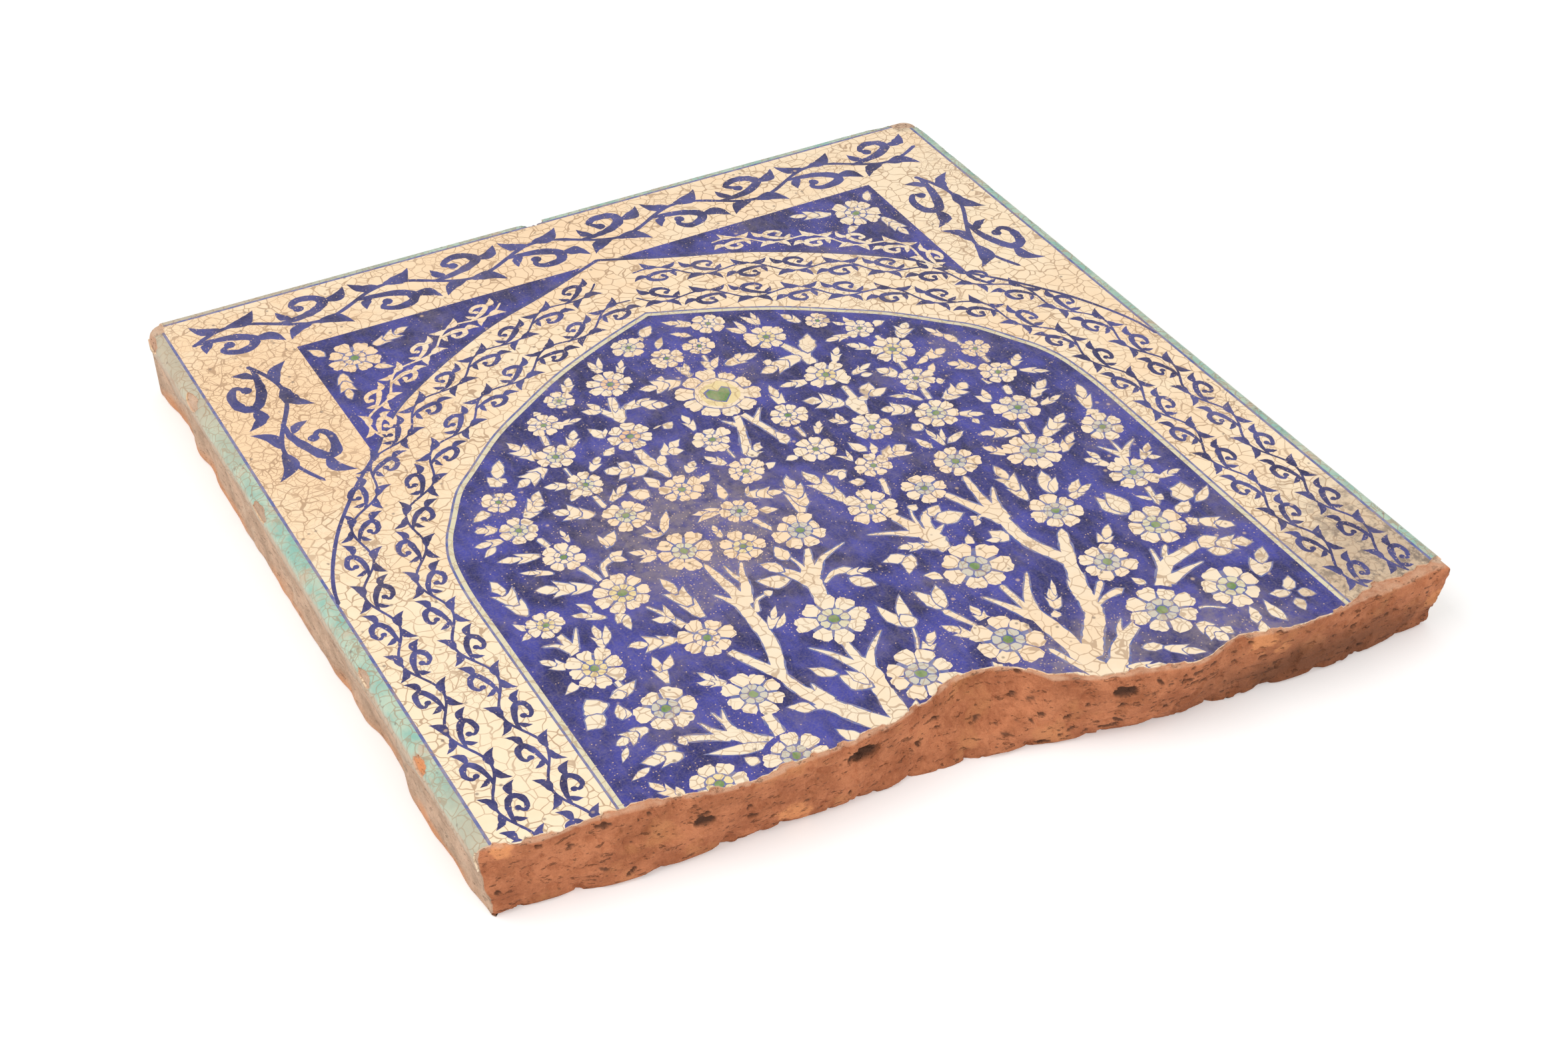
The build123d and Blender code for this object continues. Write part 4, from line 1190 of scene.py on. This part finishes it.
def glazeOutline():
    # the glaze unrolled flat, counter-clockwise: the break from left to right, up the right side,
    # along the top and down the left side, each side out to the drip line
    r = tileForm["flatCorner"]
    ends = dripLine(np.array([0.0, 3000.0]))  # far apart along the line, so that they differ

    def rollEnd(side, far):
        away = np.linspace(far, 0, 22, endpoint=False)
        out, drop, _ = overTheRim(away)
        v = fractureY(side * (flatX + out), thick - drop) + glazeJag(side * (flatX + away))
        return np.column_stack([side * (flatX + away), v])

    u = np.arange(-flatX, flatX, glazeSheet["breakStep"])
    face = np.column_stack([u, fractureY(u, thick) + glazeJag(u)])
    left, right = rollEnd(-1, ends[1]), rollEnd(1, ends[0])[::-1]
    low, high = right[-1, 1], flatY - r
    v = np.arange(low, high, glazeSheet["sideStep"])
    far = dripLine(v - low)
    far[0] = ends[0]
    rightSide = np.column_stack([flatX + far, v])
    here = high - low
    a = np.linspace(0, np.pi / 2, 14, endpoint=False)
    far = r + dripLine(here + a * 15)
    rightCorner = np.column_stack([flatX - r + far * np.cos(a), high + far * np.sin(a)])
    here += glazeSheet["cornerRun"]
    u = np.arange(flatX - r, r - flatX, -glazeSheet["sideStep"])
    top = np.column_stack([u, flatY + dripLine(here + flatX - u)])
    here += 2 * flatX
    far = r + dripLine(here + a * 15)
    leftCorner = np.column_stack([r - flatX - far * np.sin(a), high + far * np.cos(a)])
    here += glazeSheet["cornerRun"]
    v = np.arange(high, left[0, 1], -glazeSheet["sideStep"])
    leftSide = np.column_stack([-flatX - dripLine(here + high - v), v])
    return np.vstack([left, face, right, rightSide[1:], rightCorner, top, leftCorner, leftSide])


def flakeOutline(flake):
    # the unrolled outline of a flake: in each direction the furthest place still inside its sphere
    side, along, _, _ = flake
    centre, radius = flakeCentre(flake)
    start = {"top": (along, flatY + 5), "right": (flatX + 5, along), "left": (-flatX - 5, along)}[side]
    a = np.linspace(0, 2 * np.pi, 40, endpoint=False)[:, None]
    reach = np.linspace(0, 28, 160)[None, :]
    u, v = start[0] + reach * np.cos(a), start[1] + reach * np.sin(a)
    point, _, _ = ontoTile(u.ravel(), v.ravel())
    inside = np.linalg.norm(point - centre, axis=1).reshape(u.shape) < radius + 0.7
    furthest = np.where(inside, reach, 0).max(1)
    furthest = np.maximum(furthest, 0.6) * (1 + 0.06 * hand.standard_normal(40))
    return np.column_stack([start[0] + furthest * np.cos(a[:, 0]), start[1] + furthest * np.sin(a[:, 0])])


def bareOutline(spot):
    u, v, reachU, reachV = spot
    a = np.linspace(0, 2 * np.pi, 34, endpoint=False)
    ragged = 0.72 + waver(glazeSheet["bareNoise"], u + 9 * np.cos(a), v + 9 * np.sin(a))
    return np.column_stack([u + reachU * ragged * np.cos(a), v + reachV * ragged * np.sin(a)])


def looseGrid():
    # loose points that keep the triangles even on the flat and fine over the rolled rim
    step, r = glazeSheet["gridStep"], tileForm["flatCorner"]
    gx, gy = np.meshgrid(np.arange(-flatX + 2, flatX - 1, step), np.arange(-210, flatY - 1, step * 0.9))
    gx = gx + (np.arange(len(gy))[:, None] % 2) * step / 2
    flat = np.column_stack([gx.ravel(), gy.ravel()])
    flat = flat[(np.abs(flat[:, 0]) < flatX - 4) & (flat[:, 1] < flatY - 3)]
    flat = flat + hand.uniform(-0.8, 0.8, flat.shape)
    rings = []
    for away in glazeSheet["rings"]:
        v = np.arange(-214, flatY - 2, glazeSheet["ringStep"]) + hand.random()
        u = np.arange(-flatX + 2, flatX - 2, glazeSheet["ringStep"]) + hand.random()
        a = np.linspace(0.05, np.pi / 2 - 0.05, 7)
        rings += [np.column_stack([np.full(len(v), side * (flatX + away)), v]) for side in (1, -1)]
        rings.append(np.column_stack([u, np.full(len(u), flatY + away)]))
        far = away + r
        x, y = flatX - r + far * np.cos(a), flatY - r + far * np.sin(a)
        rings += [np.column_stack([side * x, y]) for side in (1, -1)]
    return flat, np.vstack(rings)


def counterClockwise(outline):
    x, y = outline[:, 0], outline[:, 1]
    return outline if np.sum(x * np.roll(y, -1) - np.roll(x, -1) * y) > 0 else outline[::-1]


def coveredBy(spots, start, end):
    # winding count of the edges start -> end round each spot; covered where it isn't zero
    covered = np.zeros(len(spots), bool)
    for at in range(0, len(spots), 2000):
        px, py = spots[at:at + 2000, :1], spots[at:at + 2000, 1:]
        run, rise = (end - start).T
        lefts = run * (py - start[:, 1]) - (px - start[:, 0]) * rise
        rising = (start[:, 1] <= py) & (end[:, 1] > py) & (lefts > 0)
        falling = (start[:, 1] > py) & (end[:, 1] <= py) & (lefts < 0)
        covered[at:at + 2000] = rising.sum(1) != falling.sum(1)
    return covered


def triangulate(spots, edges, loops, near):
    # Delaunay triangles that keep the given edges and loops; spots closer than near become one
    made = delaunay_2d_cdt([tuple(p) for p in spots.tolist()], edges, loops, 0, near, True)
    verts, _, faces, origin, _, _ = made
    return np.array([tuple(p) for p in verts]), np.array([f for f in faces if len(f) == 3]), origin


def glazeLayers():
    # (finish, outline) on the unrolled skin: all of it, what is painted on it, then what is bare
    layers = [("rim", glazeOutline())]
    layers += [(name, counterClockwise(o * designScale + [0, designTop])) for name, o in painted]
    layers += [("bare", counterClockwise(flakeOutline(f))) for f in tileForm["rimFlakes"]]
    return layers + [("bare", bareOutline(b)) for b in glazeSheet["bareSpots"]]


def paintedTriangles(layers, flat, rings):
    # the skin cut along every outline; each triangle takes the topmost layer that covers its middle,
    # and what is bare is left out
    order = glazeSheet["finishOrder"] + ["bare"]
    outlines = [o for _, o in layers]
    loops, count = [], 0
    for o in outlines:
        loops.append(list(range(count, count + len(o))))
        count += len(o)
    uv, tris, _ = triangulate(np.vstack(outlines + [flat, rings]), [], loops, 1e-4)
    middle = uv[tris].mean(1)
    byX = np.argsort(middle[:, 0])
    sortedX = middle[byX, 0]
    skin = np.full(len(tris), order.index("bare"))
    for index, (name, o) in enumerate(layers):
        # only the triangles whose middles lie in the outline's own box are tried
        some = byX[np.searchsorted(sortedX, o[:, 0].min()):np.searchsorted(sortedX, o[:, 0].max())]
        some = some[(middle[some, 1] > o[:, 1].min()) & (middle[some, 1] < o[:, 1].max())]
        some = some[(skin[some] < order.index("bare")) | (index == 0)]
        some = some[coveredBy(middle[some], o, np.roll(o, -1, 0))]
        skin[some] = order.index(name)
    kept = skin < order.index("bare")
    tris, skin = tris[kept], skin[kept]
    used, tris = np.unique(tris, return_inverse=True)
    return uv[used], tris.reshape(-1, 3), skin


def makeGlaze():
    # the painted skin, a plain underside with the same rim, and walls between the two
    layers = glazeLayers()
    flat, rings = looseGrid()
    uv, tris, skin = paintedTriangles(layers, flat, rings)
    edges = np.concatenate([tris[:, [0, 1]], tris[:, [1, 2]], tris[:, [2, 0]]])
    forward, backward = edges[:, 0] * len(uv) + edges[:, 1], edges[:, 1] * len(uv) + edges[:, 0]
    rim = edges[~np.isin(forward, backward)]
    start, end = uv[rim[:, 0]], uv[rim[:, 1]]
    rimIds, rimLocal = np.unique(rim, return_inverse=True)
    rimLocal = rimLocal.reshape(-1, 2)
    loose = np.vstack([flat[::2], rings[::3]])
    underSpots = np.vstack([uv[rimIds], loose[coveredBy(loose, start, end)]])
    underUv, underTris, origin = triangulate(underSpots, rimLocal.tolist(), [], 1e-5)
    underTris = underTris[coveredBy(underUv[underTris].mean(1), start, end)]
    landed = np.zeros(len(underSpots), int)
    for index, sources in enumerate(origin):
        landed[sources] = index
    top, _, _ = ontoTile(uv[:, 0], uv[:, 1])
    low, lowNormal, _ = ontoTile(underUv[:, 0], underUv[:, 1])
    low = low - lowNormal * glazeSheet["skin"]
    points = np.vstack([top, low])
    base = len(top)
    belowA, belowB = landed[rimLocal[:, 0]] + base, landed[rimLocal[:, 1]] + base
    walls = np.vstack([np.column_stack([rim[:, 1], rim[:, 0], belowA]),
                       np.column_stack([rim[:, 1], belowA, belowB])])
    allTris = np.vstack([tris, walls, underTris[:, ::-1] + base])
    order = glazeSheet["finishOrder"]
    slip = order.index("slip")
    chalky = waver(glazeSheet["chalkNoise"], start[:, 0], start[:, 1]) > 0.54
    wallSkin = np.where(chalky, order.index("petal"), slip)
    allSkin = np.r_[skin, wallSkin, wallSkin, np.full(len(underTris), slip)]
    corners = np.vstack([uv, underUv])[allTris.ravel()]
    shown = np.arange(len(allTris)) < len(tris)
    onFace = (corners + glazeSheet["faceCorner"]) / glazeSheet["sheetSpan"]
    onStrip = (corners + glazeSheet["stripCorner"]) / glazeSheet["stripSpan"] + [glazeSheet["stripStart"], 0]
    place = np.where(np.repeat(shown, 3)[:, None], onFace, onStrip)
    piece = meshFrom("painted_glaze", points, allTris.tolist(), [finishes[k] for k in order], allSkin,
                     cornerUv=place, smooth=shown)
    print("painted glaze:", len(allTris), "triangles,", len(rim), "rim edges")
    return piece


paintedGlaze = makeGlaze()


clayForm = {
    "sideColumns": 150,
    "topColumns": 130,
    "cornerColumns": 6,
    "breakColumns": 960,
    "sideRows": 36,
    "arrisRows": [0, 0.2, 0.5, 0.9, 1.4, 1.9],  # rows over the worn arris, up from the back
    "rollRows": 9,
    "capRings": [0.992, 0.975, 0.93, 0.8, 0.55, 0.28],
    "poreCount": 400,
    "poreStretch": (62.0, 34.0),  # middle and spread along x
    # x, y, z, reach
    "freshChips": [(-216, -116, 34, 10), (-206, -172, 35, 5), (-88, -186, 7, 8), (-62, -190, 1, 6),
                   (118, -214, 33, 8), (128, -212, 26, 5), (213, -216, 17, 8)],
    "innerPole": (0.0, 5.0),  # where the top and back caps close, x and y
    "clearance": 0.01,  # kept inside the solid's box
    "seed": 77,
    # noises of the break and of the sides: height, cell, seed, layers
    "lumps": (1.9, 19, 21, 2),
    "smallLumps": (0.45, 4.2, 22, 3),
    "layers": (0.75, 3.4, 23, 2),
    "crumbs": (0.3, 1.5, 24, 2),
    "knobs": (1.0, 5, 29, 2),
    "lip": (0.8, 9, 30, 2),
    "steps": (1.0, 12, 25, 2),
    "sway": (0.8, 40, 27, 2),
    "voidEdge": (0.3, 2.5, 26, 2),
    "pitEdge": (0.5, 1.7, 28, 2),
    "sideGrain": (0.75, 7, 31, 3),
    "dragMarks": (0.5, 1.7, 32, 2),
    "dents": (1.0, 34, 33, 2),
    "chipEdge": (1.3, 3.2, 51, 3),
}


def poreField(x, z):
    # leaning pits of many sizes, thickest in one stretch of the break:
    # depth * (1 - (distance / radius)^2)^0.6, the deepest one wins
    dice = np.random.default_rng(clayForm["seed"])
    deep = np.zeros(x.shape)
    ragged = 0.75 + waver(clayForm["pitEdge"], x, z)
    for _ in range(clayForm["poreCount"]):
        px = dice.normal(*clayForm["poreStretch"]) if dice.random() < 0.35 else dice.uniform(-214, 214)
        pz, lean = dice.uniform(0.5, 35.5), dice.normal(0.12, 0.35)
        radius = 0.26 + 1.1 * dice.random() ** 5
        long = 1.1 + 2.1 * dice.random()
        along = (x - px) * math.cos(lean) + (z - pz) * math.sin(lean)
        across = (z - pz) * math.cos(lean) - (x - px) * math.sin(lean)
        away = ((along / (radius * long)) ** 2 + (across / radius) ** 2) * ragged
        deep = np.maximum(deep, radius * (0.8 + 0.6 * dice.random()) * np.clip(1 - away, 0, 1) ** 0.6)
    return deep


def brokenSkin(x, z):
    # how far the torn clay lies behind the smooth fracture, and how dark its pits and voids are painted as
    # shade
    f = clayForm
    lumps = waver(f["lumps"], x, z) + waver(f["smallLumps"], x, z)
    layers = waver(f["layers"], x * 0.22 + z * 0.1, z)
    crumbs = waver(f["crumbs"], x, z) + 0.9 * easeStep(waver(f["knobs"], x, z), 0.56, 0.66)
    lip = 1.5 * easeStep(x, 148, 172) * easeStep(z, 30, 36.5) * (0.6 + waver(f["lip"], x, z))
    steps = 0.7 * easeStep(waver(f["steps"], x * 0.6, z), 0.5, 0.56)
    phase = x / 27 + waver(f["sway"], x, 0)
    scallops = 2.3 * (1 - np.abs(np.sin(np.pi * phase)) ** 0.45) * (1 - easeStep(z, 1, 9))
    pores = poreField(x, z)
    voids, dark = np.zeros(x.shape), np.zeros(x.shape)
    for vx, depth, length, bore in tileForm["burntVoids"]:
        share = ((x - vx) / (length / 2 + 0.3)) ** 2 + ((z - thick + depth) / (bore / 2 + 0.3)) ** 2
        share = share * (0.85 + waver(f["voidEdge"], x, z))
        voids = np.maximum(voids, (bore / 2 + 0.8) * np.sqrt(np.clip(1 - share, 0, 1)))
        dark = np.maximum(dark, np.clip(1.15 - share, 0, 1))
    pit = np.maximum(0.85 * easeStep(pores, 0.1, 0.62), easeStep(dark, 0, 0.5))
    return lumps + layers + crumbs + lip + steps + scallops + pores + voids - 1.6, np.clip(pit, 0, 1)


def sideProfile():
    # rows of the clay's side from the back to under the glaze, each with its place outside the flat,
    # its height and its way along the rim profile
    side = (thick - overTheRim(rollArc)[1]) / math.cos(leanAngle)
    away = rollArc + side - np.r_[clayForm["arrisRows"], np.linspace(2.6, side, clayForm["sideRows"])]
    away = np.r_[away, np.linspace(rollArc, 0, clayForm["rollRows"] + 1)[1:]]
    out, drop, angle = overTheRim(away)
    z = np.clip(thick - drop - tileForm["glazeDepth"] * np.cos(angle), 0, thick)
    arris = tileForm["backArris"]
    under = np.where(z < arris, arris - np.sqrt(np.maximum(arris**2 - (arris - z) ** 2, 0)), 0)
    out = out - tileForm["glazeDepth"] * np.sin(angle) - under
    return out[:, None], z[:, None], away[:, None]


def ringFaces(levels, columns):
    # quads between neighbouring rings of points, and fans that close the first and the last ring on
    # the two poles that follow them
    first = np.arange(columns)
    here = np.arange(levels - 1)[:, None] * columns + first
    beside = here - first + np.roll(first, -1)
    quads = np.stack([here, here + columns, beside + columns, beside], -1).reshape(-1, 4)
    last = (levels - 1) * columns + first
    backIndex = levels * columns
    fans = np.vstack([np.column_stack([first, np.roll(first, -1), np.full(columns, backIndex)]),
                      np.column_stack([np.roll(last, -1), last, np.full(columns, backIndex + 1)])])
    return quads, fans


def freshClay(points, rough):
    # bright spots of newly opened clay, only where it is rough
    fresh = np.zeros(len(points))
    for x0, y0, z0, reach in clayForm["freshChips"]:
        far = np.linalg.norm(points - [x0, y0, z0], axis=1) / reach
        far = far + waver(clayForm["chipEdge"], points[:, 0] + 0.5 * points[:, 1], points[:, 2])
        fresh = np.maximum(fresh, easeStep(1.6 - far, 0, 0.35) * rough)
    return fresh


def makeClayBody():
    # rows climb the side profile from the back to under the glaze, columns run round the tile:
    # up the left side, along the top, down the right side and back along the break
    f = clayForm
    r = tileForm["flatCorner"]
    arris = tileForm["backArris"]
    out, z, away = sideProfile()

    def roughSide(s, room):
        # grain and drag marks of the mould, and shallow dents that keep clear of the corners
        deep = waver(f["sideGrain"], s, z) + waver(f["dragMarks"], s * 0.25, z)
        dents = 3.0 * easeStep(waver(f["dents"], s, z), 0.4, 0.75) * easeStep(thick - z, 12, 32)
        return (deep - 0.35) * easeStep(thick - z, 8, 13) + dents * easeStep(room, 2, 28)

    def sideX(s, y):
        return flatX + out - roughSide(s, flatY - r - y) - rimWobble(flatX - r + 0 * y, y, away)

    def column(count):
        return np.linspace(0, 1, count, endpoint=False)[None, :]

    # the two edges where the sides meet the break, as x and y of every row
    corner = {}
    for sign in (-1, 1):
        x = sign * (flatX + out - roughSide(sign * 500.0, 400.0) - rimWobble(flatX - r, -200.0, away))
        corner[sign] = (x, fractureY(x, z) + brokenSkin(x, z)[0])
    high = flatY - r
    parts = []

    def add(x, y):
        parts.append(np.stack(np.broadcast_arrays(x, y, z), -1))

    # the left side, easing into its edge with the break
    s = column(f["sideColumns"])
    y = corner[-1][1] + (high - corner[-1][1]) * s
    fade = np.clip(s * 30, 0, 1)
    x = corner[-1][0] * (1 - fade) - sideX(600 + y, y) * fade
    add(x, y)
    # the left corner, the top side and the right corner
    a = column(f["cornerColumns"]) * math.pi / 2
    reach = r + out - rimWobble(flatX - r, high, away)
    add(r - flatX - reach * np.cos(a), high + reach * np.sin(a))
    x = (r - flatX) + 2 * (flatX - r) * column(f["topColumns"])
    y = flatY + out - roughSide(1500 + x, flatX - r - np.abs(x)) - rimWobble(x, high + 0 * x, away)
    add(x, y)
    add(flatX - r + reach * np.sin(a), high + reach * np.cos(a))
    # the right side, easing into its edge with the break
    s = column(f["sideColumns"])
    y = high + (corner[1][1] - high) * s
    fade = np.clip((1 - s) * 30, 0, 1)
    x = sideX(2600 + y, y) * fade + corner[1][0] * (1 - fade)
    add(x, y)
    # the break, worn back a little at the underside's arris and under the glaze
    s = column(f["breakColumns"])
    x = corner[1][0] + (corner[-1][0] - corner[1][0]) * s
    deep, pit = brokenSkin(x, z + 0 * x)
    ease = np.where(z < arris, arris - z, 0) * 0.7
    y = fractureY(x, z) + np.maximum(deep, 0.05) + ease + 0.5 * easeStep(z, 34.5, 36.5)
    add(x, y)
    grid = np.concatenate(parts, axis=1)
    rows, columns = grid.shape[:2]
    broken, dark = np.zeros((rows, columns)), np.zeros((rows, columns))
    broken[:, -f["breakColumns"]:] = 1
    # dark: how strongly the pits and voids are painted with shade
    dark[:, -f["breakColumns"]:] = pit

    def cap(row):
        # rings that shrink from that row to a pole inside it
        middle = np.array([*f["innerPole"], grid[row, 0, 2]])
        return np.stack([middle + (grid[row] - middle) * k for k in f["capRings"]]), middle

    topCap, topPole = cap(-1)
    backCap, backPole = cap(0)
    sheets = np.concatenate([backCap[::-1], grid, topCap])
    points = np.vstack([sheets.reshape(-1, 3), [backPole], [topPole]])
    levels, rings = len(sheets), len(f["capRings"])
    broken = np.pad(broken, ((rings, rings), (0, 0)), "edge")
    dark = np.pad(dark, ((rings, rings), (0, 0)))
    points, bare = carveFlakes(points)
    boxLow = np.array([*cadLow]) / metres + f["clearance"]
    boxHigh = np.array([*cadHigh]) / metres - f["clearance"]
    points = np.clip(points, boxLow, boxHigh)
    quads, fans = ringFaces(levels, columns)
    broken = np.r_[broken.ravel(), 0, 0]
    dark = np.r_[dark.ravel(), 0, 0]
    fresh = freshClay(points, np.maximum(broken, bare))
    piece = meshFrom("clay_body", points, quads.tolist() + fans.tolist(), [clayFinish], None,
                     {"broken": np.maximum(broken, 0.35 * bare), "pit": dark, "fresh": fresh})
    print("clay body:", 2 * len(quads) + len(fans), "triangles")
    return piece


clayBody = makeClayBody()

for piece in (paintedGlaze, clayBody):
    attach(piece, "root")
    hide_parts("tile")

studio = {
    "camera": (-0.42174, -0.73222, 0.67226),  # metres
    "lens": 53.795,
    "lookDown": 38.977,  # degrees
    "turn": 30.683,
    "roll": 1.4428,
    "floor": colour(0.90, 0.90, 0.90),
    "floorReach": 6.0,
    "floorGlow": 0.2,  # only what the camera sees of the floor
    "room": colour(1.0, 0.99, 0.97),
    "roomStrength": 0.69,
    # name, place, width, watts; both lamps look at the tile
    "lamps": [("keyLamp", (-1.4, 0.1, 1.9), 1.6, 23.0), ("fillLamp", (0.3, -1.9, 1.1), 1.8, 14.0)],
}


def makeStudio():
    sheet = bpy.data.meshes.new("floor")
    reach = studio["floorReach"]
    corners = [(-reach, -reach, 0), (reach, -reach, 0), (reach, reach, 0), (-reach, reach, 0)]
    sheet.from_pydata(corners, [], [(0, 1, 2, 3)])
    material, tree, shader = newMaterial("paperFloor")
    seen = node(tree, "ShaderNodeLightPath").outputs["Is Camera Ray"]
    glow = times(tree, seen, studio["floorGlow"])
    feed(tree, shader, {"Base Color": studio["floor"], "Roughness": 0.95, "Specular IOR Level": 0.0,
                        "Emission Color": (1, 1, 1, 1), "Emission Strength": glow})
    sheet.materials.append(material)
    floor = bpy.data.objects.new("floor", sheet)
    bpy.context.collection.objects.link(floor)
    world = bpy.data.worlds.new("paleRoom")
    world.use_nodes = True
    background = world.node_tree.nodes["Background"]
    feed(world.node_tree, background, {"Color": studio["room"], "Strength": studio["roomStrength"]})
    bpy.context.scene.world = world
    for name, place, width, watts in studio["lamps"]:
        light = bpy.data.lights.new(name, "AREA")
        light.size = width
        light.energy = watts
        lamp = bpy.data.objects.new(name, light)
        lamp.location = place
        x, y, z = place
        lamp.rotation_euler = (math.atan2(math.hypot(x, y), z), 0, math.atan2(y, x) + math.pi / 2)
        bpy.context.collection.objects.link(lamp)
    view = bpy.data.cameras.new("photoView")
    view.lens = studio["lens"]
    view.sensor_width = 36.0
    view.clip_end = 20.0
    camera = bpy.data.objects.new("photoView", view)
    camera.location = studio["camera"]
    level = Euler((math.radians(90 - studio["lookDown"]), 0, math.radians(-studio["turn"]))).to_matrix()
    camera.rotation_euler = (level @ Matrix.Rotation(math.radians(studio["roll"]), 3, "Z")).to_euler()
    bpy.context.collection.objects.link(camera)
    bpy.context.scene.camera = camera
    bpy.context.scene.view_settings.view_transform = "Standard"
    print("studio ready")


makeStudio()

bpy.context.view_layer.update()
